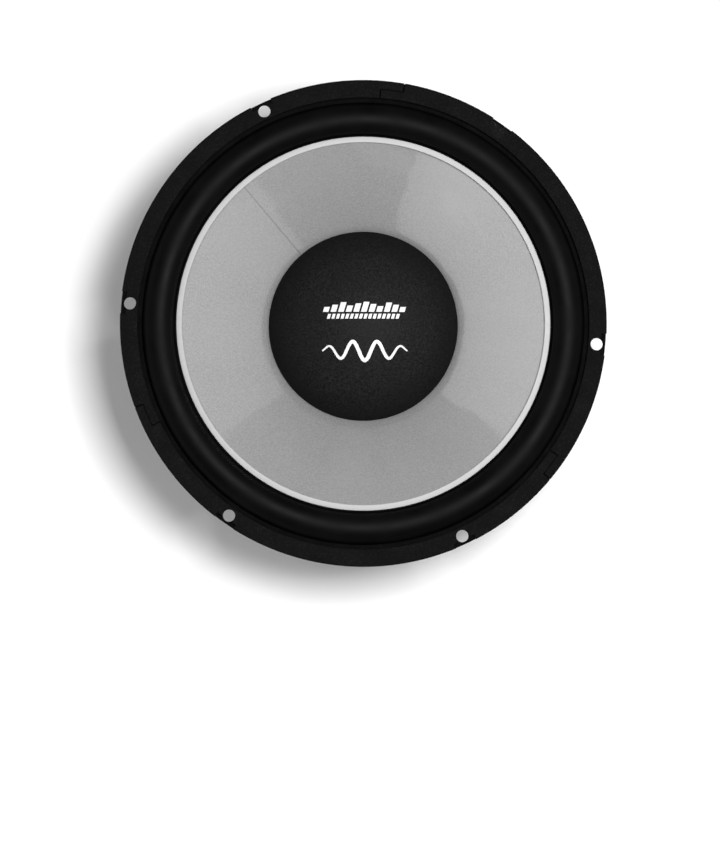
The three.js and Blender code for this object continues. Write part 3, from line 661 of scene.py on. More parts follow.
def white_trim():
    """Near-white satin ring, very slightly uneven."""
    recipe = Recipe("white_trim", grey(0.48), 0.4, Specular_IOR_Level=0.4)
    vector = recipe.around(1.0)
    uneven = recipe.noise(16, 4, 0.6, vector=vector)
    return recipe.finished(recipe.between(uneven, 0.3, 0.7, 1, grey(0.37), grey(0.43)), uneven, 0.42, 0.54,
                           (recipe.noise(900, 3, 0.6), 0.02, 0.4))


def cap_felt():
    """Black dust cap with a soft, slightly fibrous coat, darkened towards its edge as painted shade."""
    recipe = Recipe("cap_felt", grey(0.008), 0.62, Specular_IOR_Level=0.12)
    fibres = recipe.noise(850, 4, 0.75, distortion=0.8)
    cloud = recipe.noise(35, 4, 0.6)
    base = recipe.between(fibres, 0.42, 0.6, 1, grey(0.001), grey(0.0145))
    base = recipe.between(cloud, 0.4, 0.75, 0.5, base, grey(0.005))
    # Painted shade: the colour darkens towards the dome's edge.
    painted_edge_shade = recipe.remap(recipe.distance_from_axis(), 0.042, 0.061, 0.0, 0.75)
    return recipe.finished(recipe.blend_colours(painted_edge_shade, base, grey(0.001)), fibres, 0.55, 0.7,
                           (fibres, 0.1, 0.6))


def screen_print(name, colour, roughness=0.5):
    """A printed ink layer, a little thin in places."""
    recipe = Recipe(name, colour, roughness)
    thin = recipe.noise(420, 5, 0.7)
    darker = tuple(c * 0.72 for c in colour)
    return recipe.finished(recipe.between(thin, 0.55, 0.8, 1, colour, darker),
                           thin, roughness - 0.08, roughness + 0.1, (thin, 0.02, 0.4))


def turned_zinc(name, colour, lines=1.0, roughness=0.24, brushed=0.55):
    """Bright plated steel with the fine rings that a lathe leaves."""
    recipe = Recipe(name, colour, roughness, 1.0, Anisotropic=brushed)
    recipe.radial_tangent()
    along = recipe.node("ShaderNodeCombineXYZ")
    recipe.set(along.inputs[0], recipe.distance_from_axis())
    recipe.set(along.inputs[2], recipe.parts_of_place()[2])
    rings = recipe.noise(2600 * lines, 2, 0.6, vector=along.outputs[0])
    stain = recipe.noise(24, 5, 0.65)
    dark = tuple(c * 0.78 for c in colour)
    base = recipe.between(stain, 0.45, 0.8, 0.6, colour, dark)
    recipe.colour(recipe.between(rings, 0.35, 0.65, 0.25, base, dark))
    recipe.rough(recipe.maths("ADD", recipe.remap(rings, 0.3, 0.7, roughness - 0.06, roughness + 0.06),
                              recipe.remap(stain, 0.4, 0.8, 0, 0.1)))
    recipe.bump(rings, 0.02, 0.35)
    return recipe.material


def ferrite():
    """Ground ferrite: dark grey, faint mottling, fine vertical grinding marks."""
    recipe = Recipe("ferrite", grey(0.05), 0.62)
    vector = recipe.around(1.0)
    marks = recipe.noise(60, 4, 0.7, vector=vector)
    mottle = recipe.noise(240, 6, 0.7)
    share = recipe.remap(mottle, 0.35, 0.7, 0, 1)
    base = recipe.blend_colours(share, (0.026, 0.027, 0.028), (0.052, 0.053, 0.055))
    return recipe.finished(recipe.between(marks, 0.5, 0.8, 0.5, base, grey(0.07)), mottle, 0.52, 0.72,
                           (mottle, 0.06, 0.4))


def label_paper(name, colour):
    """Printed label stock under a thin satin film."""
    recipe = Recipe(name, colour, 0.42, Coat_Weight=0.35, Coat_Roughness=0.25)
    cloud = recipe.noise(55, 5, 0.6)
    fibres = recipe.noise(1200, 3, 0.6)
    deeper = tuple(c * 0.86 for c in colour)
    return recipe.finished(recipe.between(cloud, 0.35, 0.75, 1, colour, deeper), fibres, 0.36, 0.5,
                           (fibres, 0.015, 0.4))


def woven(name, light, dark, pitch_mm):
    """A plain weave: two crossed waves, light threads over dark gaps."""
    recipe = Recipe(name, light, 0.85, Sheen_Weight=0.1, Sheen_Roughness=0.4)
    x, y, _ = recipe.parts_of_place()
    turn = 2 * math.pi / (pitch_mm * MM)
    across = recipe.maths("SINE", recipe.maths("MULTIPLY", x, turn))
    along = recipe.maths("SINE", recipe.maths("MULTIPLY", y, turn))
    weave = recipe.maths("MULTIPLY", across, along)
    stain = recipe.noise(45, 5, 0.6)
    base = recipe.blend_colours(recipe.remap(weave, -1, 1, 0, 1), dark, light)
    stained = tuple(c * 0.6 for c in light)
    return recipe.finished(recipe.between(stain, 0.4, 0.75, 0.5, base, stained),
                           stain, 0.75, 0.93, (weave, 0.12, 0.6))


def metal(name, colour, roughness=0.3, tarnish=0.5):
    """Small bright metal parts with a little tarnish."""
    recipe = Recipe(name, colour, roughness, 1.0)
    cloud = recipe.noise(300, 5, 0.65)
    dull = tuple(c * 0.55 for c in colour)
    return recipe.finished(recipe.blend_colours(recipe.remap(cloud, 0.45, 0.75, 0, tarnish), colour, dull),
                           cloud, roughness - 0.08, roughness + 0.16, (recipe.noise(1500, 3, 0.6), 0.02, 0.4))


def phenolic(name, colour, streak):
    """Laminated board: paper fibres in resin."""
    recipe = Recipe(name, colour, 0.45, Coat_Weight=0.2, Coat_Roughness=0.3)
    fibres = recipe.noise(420, 5, 0.7, distortion=2.0)
    return recipe.finished(recipe.between(fibres, 0.4, 0.7, 1, colour, streak), fibres, 0.38, 0.56,
                           (fibres, 0.04, 0.4))


def glue(name, colour, roughness=0.35, coat=0.4):
    """Cured adhesive with small lumps."""
    recipe = Recipe(name, colour, roughness, Coat_Weight=coat, Coat_Roughness=0.15, Specular_IOR_Level=0.3)
    lumps = recipe.noise(180, 4, 0.6)
    lighter = tuple(c * 1.8 for c in colour)
    return recipe.finished(recipe.between(lumps, 0.4, 0.7, 1, colour, lighter),
                           lumps, roughness - 0.1, roughness + 0.15, (lumps, 0.3, 0.5))


def floor_paper():
    """Pale seamless backdrop paper."""
    recipe = Recipe("floor_paper", grey(0.9), 0.9)
    cloud = recipe.noise(3, 3, 0.5)
    recipe.colour(recipe.blend_colours(cloud, grey(0.89), grey(0.91)))
    recipe.bump(recipe.noise(600, 3, 0.6), 0.02, 0.3)
    return recipe.material


paint = black_paint()
# A darker, matte copy of the black paint: painted shade.
painted_shade_rim = painted_shade_rim_paint()
sponge = gasket_rubber()
sponge_worn = scuffed_rubber()
rubber = surround_rubber()
silver = silver_cone()
silver_dark = silver_cone("silver_seam", 0.2)
cone_back = cone_back_paper()
ring_white = white_trim()
felt = cap_felt()
white_ink = screen_print("white_ink", (0.78, 0.78, 0.78), 0.45)
black_ink = screen_print("black_ink", (0.012, 0.011, 0.010), 0.45)
blue_ink = screen_print("blue_ink", (0.06, 0.05, 0.36), 0.5)
zinc = turned_zinc("zinc_plate", (0.74, 0.73, 0.70))
ivory_zinc = turned_zinc("yoke_plate", (0.74, 0.73, 0.67), 1.0, 0.36, 0.3)
bump_zinc = turned_zinc("yoke_bump", (0.56, 0.57, 0.55), 1.6, 0.42, 0.3)
magnet_grey = ferrite()
orange = label_paper("orange_label", (0.79, 0.205, 0.017))
paper_white = label_paper("paper_white", (0.82, 0.82, 0.8))
pale_blue = label_paper("pale_ring", (0.55, 0.62, 0.68))
# A brown ring colour: painted shade with a painted reflection of the orange label in the bump's wall.
label_painted_reflection = glue("label_painted_reflection", (0.035, 0.018, 0.005), 0.45, 0.3)
spider_cloth = woven("spider_cloth", (0.58, 0.33, 0.06), (0.24, 0.12, 0.02), 1.1)
mesh_black = woven("vent_mesh_black", (0.012, 0.012, 0.012), (0.002, 0.002, 0.002), 0.6)
tinned = metal("tinned_brass", (0.66, 0.64, 0.58), 0.3)
solder = metal("solder", (0.62, 0.62, 0.62), 0.35, 0.3)
tinsel = metal("tinsel", (0.72, 0.72, 0.70), 0.33, 0.4)
screw_steel = metal("screw_steel", (0.42, 0.42, 0.42), 0.32)
copper = metal("enamelled_copper", (0.55, 0.17, 0.05), 0.3, 0.4)
board_red = phenolic("phenolic_red", (0.36, 0.095, 0.02), (0.5, 0.19, 0.05))
board_pale = phenolic("phenolic_pale", (0.62, 0.57, 0.42), (0.5, 0.43, 0.28))
amber = phenolic("amber_film", (0.32, 0.12, 0.015), (0.4, 0.17, 0.03))
black_glue = glue("black_glue", (0.008, 0.008, 0.008))
cap_edge = glue("cap_edge_glue", (0.004, 0.004, 0.004), 0.6, 0.0)

# ---------------------------------------------------------------- basket

spoke_along = Vector((SPOKE_HIGH[0] - SPOKE_LOW[0], SPOKE_HIGH[1] - SPOKE_LOW[1])).normalized()
spoke_inward = Vector((-spoke_along.y, spoke_along.x))
POCKET_LOW_DEPTH = 1.2
POCKET_HIGH_DEPTH = 6.0
POCKET_HALF_ANGLE = 8.9
POCKET_WALL = 3.2
POCKET_START = 1.0
POCKET_END = 53.0
STUD_ALONG = 11.0
STUD_RADIUS = 4.6
STUD_HEIGHT = 1.1
EDGE_CURL = 2.2
EDGE_CURL_WIDTH = 3.4


def basket_profile():
    """The outside face of the pressed sheet as evenly spaced (radius, z) points."""
    corners = [
        (44, top_plate_front_z), (62.5, top_plate_front_z, 2), (65.5, 50, 2), (75.5, 69.5, 2.5),
        (78.2, SHELF_Z - SHEET, 1.5), (85.5, 73, 3), (90, 76, 3), (*SPOKE_LOW, 6), (*SPOKE_HIGH, 5),
        (132, 125.8, 4), (134.8, 129.8, 3), (137.4, 142.3, 3), (138.6, 144.9, 2), (141, flange_rear_z + 0.1),
    ]
    path = rounded(corners, closed=False)
    lengths = lengths_along(path)
    samples = np.linspace(0, lengths[-1], int(lengths[-1] / 1.25))
    radii = np.interp(samples, lengths, path[:, 0])
    heights = np.interp(samples, lengths, path[:, 1])
    return np.stack([radii, heights], axis=-1)


def window_distance(radius, degrees_off):
    """Signed distance to a window's rounded outline, negative inside it, in millimetres."""
    corner = 6.0
    middle = (WINDOW_INNER + WINDOW_OUTER) / 2
    half_height = (WINDOW_OUTER - WINDOW_INNER) / 2
    across = np.abs(radius * np.radians(degrees_off)) - (radius * math.radians(WINDOW_HALF_ANGLE) - corner)
    along = np.abs(radius - middle) - (half_height - corner)
    outside = np.hypot(np.maximum(across, 0), np.maximum(along, 0))
    return outside + np.minimum(np.maximum(across, along), 0) - corner


def off_window(degrees):
    """Degrees from the middle of the nearest window."""
    return degrees % SPOKE_PITCH - SPOKE_PITCH / 2


def off_spoke(degrees):
    """Degrees from the middle of the nearest spoke."""
    return (degrees + SPOKE_PITCH / 2) % SPOKE_PITCH - SPOKE_PITCH / 2


def snapped(profile, degrees):
    """Grid angles and profile places, with the points nearest a window's edge moved onto it."""
    lengths = lengths_along(profile)
    angle = np.broadcast_to(degrees[:, None], (len(degrees), len(lengths))).copy()
    place = np.broadcast_to(lengths[None, :], angle.shape).copy()

    def radius_at(s):
        return np.interp(s, lengths, profile[:, 0])

    cone_part = lengths > lengths[np.argmax(profile[:, 0] > WINDOWED_FROM_RADIUS)]
    reach = 0.8
    for _ in range(3):
        distance = window_distance(radius_at(place), off_window(angle))
        step = 0.05
        degrees_step = np.degrees(step / radius_at(place))
        slope_s = (window_distance(radius_at(place + step), off_window(angle)) - distance) / step
        slope_a = (window_distance(radius_at(place), off_window(angle + degrees_step)) - distance) / step
        size = np.maximum(slope_s ** 2 + slope_a ** 2, 1e-3)
        near = (np.abs(distance) < reach) & cone_part[None, :]
        place = np.where(near, place - distance * slope_s / size, place)
        angle = np.where(near, angle - np.degrees(distance * slope_a / size / radius_at(place)), angle)
    return angle, place, lengths


def basket_shell():
    profile = basket_profile()
    columns = 600
    degrees = np.linspace(0, 360, columns, endpoint=False)
    angle, place, lengths = snapped(profile, degrees)
    radius = np.interp(place, lengths, profile[:, 0])
    height = np.interp(place, lengths, profile[:, 1])
    tangent = tangents_along(profile)
    inward_r = np.interp(place, lengths, -tangent[:, 1])
    inward_z = np.interp(place, lengths, tangent[:, 0])
    distance = window_distance(radius, off_window(angle))

    side = radius * np.sin(np.radians(off_spoke(angle)))
    along = (radius - SPOKE_LOW[0]) * spoke_along.x + (height - SPOKE_LOW[1]) * spoke_along.y
    half = radius * math.radians(POCKET_HALF_ANGLE)
    pocket = smoothstep((half - np.abs(side)) / POCKET_WALL)
    pocket = pocket * smoothstep((along - POCKET_START) / 5.0)
    pocket = pocket * smoothstep((POCKET_END + 3 - along) / 4.5)
    share = np.clip((along - POCKET_START) / (POCKET_END - POCKET_START), 0, 1)
    floor_depth = POCKET_LOW_DEPTH + (POCKET_HIGH_DEPTH - POCKET_LOW_DEPTH) * share
    stud = np.hypot(side, (along - STUD_ALONG) * 0.8) / STUD_RADIUS
    floor_depth = floor_depth - STUD_HEIGHT * smoothstep(1.4 - stud)
    curl = EDGE_CURL * np.clip(1 - distance / EDGE_CURL_WIDTH, 0, 1) ** 2
    depth = np.maximum(floor_depth * pocket, np.where(height > SHELF_Z + 4, curl, 0))
    radius = radius + inward_r * depth
    height = height + inward_z * depth

    vertices, quads = grid(polar(radius, np.radians(angle), height))
    inside = distance.reshape(-1)
    zone = (profile[None, :, 0] > WINDOWED_FROM_RADIUS).repeat(columns, axis=0).reshape(-1)
    cut = np.all((inside[quads] < 0.05) & zone[quads], axis=1)
    shell = add_piece("basket_shell", (vertices, quads[~cut].tolist()), paint, BASKET, sharp=60, merge=False)
    work = bmesh.new()
    work.from_mesh(shell.data)
    loose = [v for v in work.verts if not v.link_faces]
    bmesh.ops.delete(work, geom=loose, context="VERTS")
    work.to_mesh(shell.data)
    work.free()
    face = max(shell.data.polygons, key=lambda p: p.center.z)
    outward = face.normal.xy.dot(face.center.xy) > 0
    thick = shell.modifiers.new("sheet", "SOLIDIFY")
    thick.thickness = SHEET * MM
    thick.offset = -1 if outward else 1
    thick.use_even_offset = False
    applied(shell)
    soft = shell.modifiers.new("edges", "BEVEL")
    soft.width = 0.35 * MM
    soft.segments = 2
    soft.limit_method = "ANGLE"
    soft.angle_limit = math.radians(55)
    applied(shell)
    shade(shell.data, 50)
    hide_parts("basket")


def basket_flange():
    outline = rounded([
        (138.2, flange_rear_z - 0.2), (140, flange_rear_z - 0.2), (142, flange_rear_z, 1.5),
        (flange_radius, flange_rear_z, 0.9), (flange_radius, flange_front_z, 0.5),
        (147.6, flange_front_z, 0.8), (147.4, flange_ledge_z, 0.5), (138.2, flange_ledge_z, 0.8),
    ])
    # The flange takes the darker rim paint, a painted shade.
    ring = add_piece("basket_flange", lathe(outline, 360), painted_shade_rim, BASKET)
    drills = []
    for i in range(SPOKES):
        turn = math.radians(i * SPOKE_PITCH)
        centre = (BOLT_CIRCLE_RADIUS * math.cos(turn), BOLT_CIRCLE_RADIUS * math.sin(turn), flange_rear_z)
        wall = [(0, -4), (BOLT_HOLE_RADIUS, -4), (BOLT_HOLE_RADIUS, 8), (0, 8)]
        drills.append(moved(lathe(wall, 40, closed=False), shift=centre))
    drill = add_piece("drill", joined(*drills), paint, BASKET)
    cut = ring.modifiers.new("holes", "BOOLEAN")
    cut.object = drill
    cut.operation = "DIFFERENCE"
    cut.solver = "EXACT"
    bpy.context.view_layer.update()
    applied(ring)
    bpy.data.objects.remove(drill)
    shade(ring.data, 40)


def cup_wall_and_tabs():
    wall = lathe(rounded([
        (82.7, SHELF_Z - 0.6), (WINDOW_INNER, SHELF_Z - 0.6), (WINDOW_INNER, 84, 0.8), (82.7, 84, 0.8),
    ]), 360)
    add_piece("spider_cup_wall", wall, paint, BASKET)
    for name, tip, hole, turn in (
        ("terminal_tab", BOARD_RADIUS + 5, BOARD_RADIUS, -90),
        ("spare_tab", 101.5, 97, 90),
    ):
        start = WINDOW_INNER - 1
        length = tip - start
        outline = rounded_rectangle(length, 11, 1.2)
        shape = [outline, circle(RIVET_HOLE_RADIUS, (hole - start - length / 2, 0), 24)]
        tab = moved(plate(shape, SHEET, 0.3, TAB_UNDER_Z), shift=(start + length / 2, 0, 0))
        add_piece(name, moved(tab, turn), paint, BASKET)


basket_shell()
basket_flange()
cup_wall_and_tabs()

# ---------------------------------------------------------------- gasket


def gasket_outline():
    """A third of the gasket in plan: stepped ends, and a notch with the bolt hole at each bolt."""
    middle = (GASKET_INNER_RADIUS + flange_radius) / 2
    slit = 0.1
    outer_start = GASKET_JOINT_ANGLE - GASKET_LAP / 2 + slit
    outer_end = outer_start + 120 - 2 * slit
    inner_start = outer_start + GASKET_LAP
    inner_end = outer_end + GASKET_LAP
    notch_floor, notch_half = flange_radius - 3.3, 7.0
    hole = BOLT_HOLE_RADIUS + 0.4
    reach = math.sqrt(hole ** 2 - (notch_floor - BOLT_CIRCLE_RADIUS) ** 2)
    notch_angle = math.degrees(math.asin(notch_half / flange_radius))
    points = []
    place = outer_start
    for bolt in (120, 180):
        points += arc(flange_radius, place, bolt - notch_angle, 40)
        turn = math.radians(bolt)
        start = math.atan2(-reach, notch_floor - BOLT_CIRCLE_RADIUS)
        local = [(notch_floor, -notch_half), (notch_floor, -reach)]
        for t in np.linspace(start, -2 * math.pi - start, 22):
            local.append((BOLT_CIRCLE_RADIUS + hole * math.cos(t), hole * math.sin(t)))
        local += [(notch_floor, reach), (notch_floor, notch_half)]
        for x, y in local:
            points.append((x * math.cos(turn) - y * math.sin(turn), x * math.sin(turn) + y * math.cos(turn)))
        place = bolt + notch_angle
    points += arc(flange_radius, place, outer_end, 40)
    points += arc(middle - slit, outer_end, inner_end, 8)
    points += arc(GASKET_INNER_RADIUS, inner_end, inner_start, 110)
    points += arc(middle + slit, inner_start, outer_start, 8)
    return points


def gasket():
    outline = gasket_outline()
    for i in range(3):
        part = moved(plate([outline], gasket_front_z - flange_front_z, 0.5, flange_front_z), i * 120)
        add_piece(f"gasket_{i + 1}", part, sponge, BASKET, replaces=(f"gasket_segment_{i + 1}",), sharp=50)


def gasket_flap():
    """The gasket's own rubber left uncut over one bolt hole, scuffed where a finger has pressed it."""
    reach = 6.9
    outer = flange_radius - 2.1
    inner = BOLT_CIRCLE_RADIUS - BOLT_HOLE_RADIUS - 1.0
    outline = rounded([(inner, -reach, 1.5), (outer, -reach, 0.3), (outer, reach, 0.3), (inner, reach, 1.5)])
    flap = moved(plate([outline], 0.7, 0.15, gasket_front_z - 0.75), FLAP_ANGLE)
    add_piece("gasket_flap", flap, sponge_worn, BASKET, sharp=50)
    # A disc of the darker rim paint, painted shade, under the flap over the bolt hole.
    under = plate([circle(BOLT_HOLE_RADIUS + 0.6, (BOLT_CIRCLE_RADIUS, 0))], 0.5, 0.1, flange_front_z + 0.1)
    add_piece("gasket_flap_root", moved(under, FLAP_ANGLE), painted_shade_rim, BASKET)


gasket()
gasket_flap()

# ---------------------------------------------------------------- surround, trim ring, cone, cap


def radial_blend(piece):
    count = len(piece.data.vertices)
    places = np.empty(count * 3)
    piece.data.vertices.foreach_get("co", places)
    laid_out = places.reshape(-1, 3).copy()
    laid_out[:, 0] = np.hypot(laid_out[:, 0], laid_out[:, 1])
    laid_out[:, 1] = 0
    piece.data.vertices.foreach_set("co", laid_out.ravel())
    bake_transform(piece)
    piece.data.vertices.foreach_set("co", places)
    piece.data.update()


def surround():
    skin = 0.9
    steps = 40
    centre = (ROLL_INNER + ROLL_OUTER) / 2
    half = (ROLL_OUTER - ROLL_INNER) / 2
    spring_z = flange_ledge_z + 0.1 + skin
    rise = roll_crest_z - spring_z
    inner_z = trim_base_z - 0.3
    foot = [(144.3, spring_z - skin), (144.3, spring_z), (141.0, spring_z)]
    top = [(centre + half * math.cos(t), spring_z + rise * math.sin(t) ** ROLL_ROUNDNESS)
           for t in np.linspace(0, math.pi, steps)]
    inner = [(119.3, inner_z), (115.3, inner_z), (115.3, inner_z - skin), (119.3, inner_z - skin)]
    under = [(centre + (half - skin) * math.cos(t),
              spring_z - skin + (rise - 0.1) * math.sin(t) ** ROLL_ROUNDNESS)
             for t in np.linspace(math.pi, 0, steps)]
    piece = add_piece("surround_roll", lathe(foot + top + inner + under, 300), rubber, None,
                      replaces=("surround",), sharp=60)
    # The foot outside the roll takes the darker rim paint: painted shade in the gap under the gasket's edge.
    second_material(piece, painted_shade_rim, lambda face: from_axis(face) > (ROLL_OUTER + 0.2) * MM)
    radial_blend(piece)


def trim_ring():
    top = trim_base_z + 1.4
    outline = rounded([
        (TRIM_INNER, trim_base_z), (trim_outer_radius, trim_base_z), (trim_outer_radius, top, 0.45),
        (TRIM_INNER, top, 0.35),
    ])
    add_piece("trim_ring", lathe(outline, 360), ring_white, MOVING, replaces=("cone_trim_ring",))


def cone_z(radius):
    share = (radius - CONE_NECK[0]) / (CONE_EDGE[0] - CONE_NECK[0])
    return CONE_NECK[1] + (CONE_EDGE[1] - CONE_NECK[1]) * share - CONE_BOW * np.sin(math.pi * share)


def cone():
    radii = np.linspace(CONE_NECK[0], CONE_EDGE[0], 48)
    front = [(r, cone_z(r) + SKIN / 2) for r in radii] + [(CONE_LIP, CONE_EDGE[1] + SKIN / 2)]
    rear = [(CONE_LIP, CONE_EDGE[1] - SKIN / 2)] + [(r, cone_z(r) - SKIN / 2) for r in radii[::-1]]
    piece = add_piece("cone_body", lathe(front + rear, 300), silver, MOVING, replaces=("cone",), sharp=50)
    second_material(piece, cone_back, lambda face: face.normal.z <= 0)


def cone_seam():
    """The overlap where the paper of the cone was joined, a low ridge from the neck to the edge."""
    radii = np.linspace(cap_radius + 1, CONE_EDGE[0] - 0.5, 30)
    turn = math.radians(SEAM_ANGLE)
    across = np.array([-math.sin(turn), math.cos(turn), 0])
    strips = []
    for offset, lift in ((-0.5, -0.05), (-0.3, 0.1), (0.25, 0.12), (0.4, -0.05)):
        height = cone_z(radii) + SKIN / 2 + lift
        strips.append(polar(radii, turn, height) + across * offset)
    add_piece("cone_seam", grid(np.stack(strips, axis=1), wrap_u=False), silver_dark, MOVING)


def cone_edge_bead():
    """The pale line of adhesive that shows at the cone's outer edge from behind."""
    bead = circle(0.5, (CONE_LIP - 0.6, CONE_EDGE[1] - SKIN / 2 - 0.3), 12)
    add_piece("cone_edge_bead", lathe(bead, 300), ring_white, MOVING)


def cap_z(radius):
    return cap_skirt_z + (cap_top_z - cap_skirt_z - CAP_SKIN) * (1 - (radius / cap_radius) ** 2) + CAP_SKIN


def dust_cap():
    radii = np.linspace(0.0, cap_radius - 0.4, 40)
    outside = [(r, cap_z(r)) for r in radii] + [(cap_radius, cap_skirt_z + 0.9), (cap_radius, cap_skirt_z)]
    inside = [(r, cap_z(r) - CAP_SKIN) for r in radii[::-1]]
    add_piece("dust_cap_dome", lathe(outside + inside, 300, closed=False), felt, MOVING,
              replaces=("dust_cap",), sharp=60)
    foot = cap_radius + 0.3
    fillet = rounded([(cap_radius - 0.6, cap_skirt_z - 0.3), (foot, float(cone_z(foot)) + 0.62),
                      (foot - 0.1, cap_skirt_z + 0.3, 0.3), (cap_radius - 0.6, cap_skirt_z + 0.6, 0.3)])
    add_piece("cap_glue_line", lathe(fillet, 300), cap_edge, MOVING)


def printed_patch(corners):
    """A four-sided patch of ink laid on the dome, from its corners in the view's right and up."""
    a, b, c, d = [np.array(corner, float) for corner in corners]
    u = np.linspace(0, 1, 6)[:, None, None]
    v = np.linspace(0, 1, 4)[None, :, None]
    flat = (1 - u) * (1 - v) * a + u * (1 - v) * b + u * v * c + (1 - u) * v * d
    return grid(on_dome(flat), wrap_u=False)


def on_dome(flat):
    turn = math.radians(CAMERA_TURN)
    x = flat[..., 0] * math.cos(turn) - flat[..., 1] * math.sin(turn)
    y = flat[..., 0] * math.sin(turn) + flat[..., 1] * math.cos(turn)
    return np.stack([x, y, cap_z(np.hypot(x, y)) + 0.12], axis=-1)


def cap_print():
    """A generic mark: slanted level bars over a row of short slanted dashes, and a bold wave below them."""
    patches = []
    slant = 0.3
    for i, height in enumerate((3.2, 4.6, 6.2, 4.0, 5.4, 6.4, 5.0, 3.6, 6.0, 4.6, 3.2)):
        patches.append(slanted_bar(-26 + 4.9 * i, 8.6, 3.6, height, slant))
    for i in range(16):
        patches.append(slanted_bar(-23.5 + 2.95 * i, 4.2, 1.9, 3.1, slant))
    share = np.linspace(0, 1, 120)
    x = -26.5 + 55 * share
    wave = -16.4 + 6.2 * np.sin(math.pi * share) ** 0.5 * np.sin(2 * math.pi * 3.5 * share)
    breadth = 0.9 + 1.5 * np.sin(math.pi * share)
    slope = np.gradient(wave, x)
    normal = np.stack([-slope, np.ones_like(slope)], axis=-1) / np.hypot(slope, 1)[:, None]
    line = np.stack([x, wave], axis=-1)
    aside = normal * breadth[:, None] / 2
    ribbon = np.stack([line + aside, line, line - aside], axis=1)
    patches.append(grid(on_dome(ribbon), wrap_u=False))
    add_piece("cap_print", joined(*patches), white_ink, MOVING, sharp=80)


def slanted_bar(left, bottom, width, height, slant):
    lean = height * slant
    return printed_patch([(left, bottom), (left + width, bottom),
                          (left + width + lean, bottom + height), (left + lean, bottom + height)])


surround()
trim_ring()
cone()
cone_seam()
cone_edge_bead()
dust_cap()
cap_print()

# ---------------------------------------------------------------- motor


def yoke():
    bump_flat, bump_base = 30.5, 39.0
    pole, mouth, bore = 31.3, 16.4, 12.5
    pole_top = high("t_yoke")[2]
    outline = rounded([
        (mouth, 0, 0.5), (bump_flat - 0.8, 0, 0.1), (bump_flat - 0.5, 0.5, 0.1), (bump_flat + 0.1, 0.5, 0.1),
        (bump_flat + 0.4, 0.1, 0.2), (35.0, 0.8, 3), (37.8, 2.6, 2), (bump_base, plate_rear_z, 0.8),
        (yoke_radius, plate_rear_z, 2.2), (yoke_radius, magnet_rear_z, 0.8),
        (pole, magnet_rear_z, 1.0), (pole, pole_top, 1), (16, pole_top, 2), (bore, pole_top - 5, 2),
        (bore, 4), (mouth, 4),
    ], steps=8)
    piece = add_piece("back_plate_and_pole", lathe(outline, 300), ivory_zinc, BASKET,
                      replaces=("t_yoke",), sharp=35)
    second_material(piece, bump_zinc, lambda face: from_axis(face) < (bump_base - 0.2) * MM)


def bevelled_ring(name, inner, outer, z0, z1, edge, material, replaces):
    outline = rounded([(inner, z0, 0.4), (outer, z0, edge), (outer, z1, edge), (inner, z1, 0.4)])
    add_piece(name, lathe(outline, 300), material, BASKET, replaces=replaces, sharp=35)


def label():
    inner, outer = 44.0, 66.0
    face = low("magnet_label")[2]
    sunk = plate_rear_z - 0.02
    for name, first, last, rear, front, material in (
        ("label_band_1", inner, inner + 1.6, sunk, face, black_ink),
        ("label_band_2", inner + 1.6, outer - 2.0, sunk, face, orange),
        ("label_band_3", outer - 2.0, outer, sunk, face, black_ink),
        ("label_pale_ring", 42.4, 43.8, plate_rear_z, face + 0.05, pale_blue),
        # The brown ring beside the bump is painted shade with a painted reflection of the orange label.
        ("label_ring_painted_reflection", 39.3, 42.3, plate_rear_z, face + 0.1, label_painted_reflection),
    ):
        outline = [(first, rear), (first, front), (last, front), (last, rear)]
        add_piece(name, lathe(outline, 240), material, BASKET,
                  replaces=("magnet_label",) if name == "label_band_2" else ())


def label_print():
    """Generic marks in place of lettering: bold outlined level blocks above, two waves below."""
    face = low("magnet_label")[2] - 0.03
    line = 1.5
    marks = []
    for i, height in enumerate((12, 15, 13.5, 15.5, 13.5, 15, 12)):
        centre = 90 + (i - 3) * 16.5
        foot, half = 47.6, 7.2
        thick = math.degrees(line / 54)
        marks.append(sector(foot, foot + height, centre - half, centre - half + thick, face))
        marks.append(sector(foot, foot + height, centre + half - thick, centre + half, face))
        marks.append(sector(foot, foot + line, centre - half, centre + half, face))
        marks.append(sector(foot + height - line, foot + height, centre - half, centre + half, face))
    share = np.linspace(0, 1, 360)
    turns = np.radians(-148 + 116 * share)
    middle = 55 + 4.4 * np.sin(2 * math.pi * 6 * share) * np.sin(math.pi * share) ** 0.4
    for offset in (-2.1, 2.1):
        radii = np.stack([middle + offset - line / 2, middle + offset + line / 2], axis=-1)
        marks.append(grid(polar(radii, turns[:, None], face), wrap_u=False))
    for i in range(3):
        marks.append(sector(51 + 3.4 * i, 52.9 + 3.4 * i, 180 - 4.5, 180 + 4.5, face))
    add_piece("label_print", joined(*marks), black_ink, BASKET, sharp=80)


def sector(inner, outer, first, last, z):
    turns = np.radians(np.linspace(first, last, max(2, int(abs(last - first) / 1.5) + 2)))
    return grid(polar(np.array([inner, outer]), turns[:, None], z), wrap_u=False)


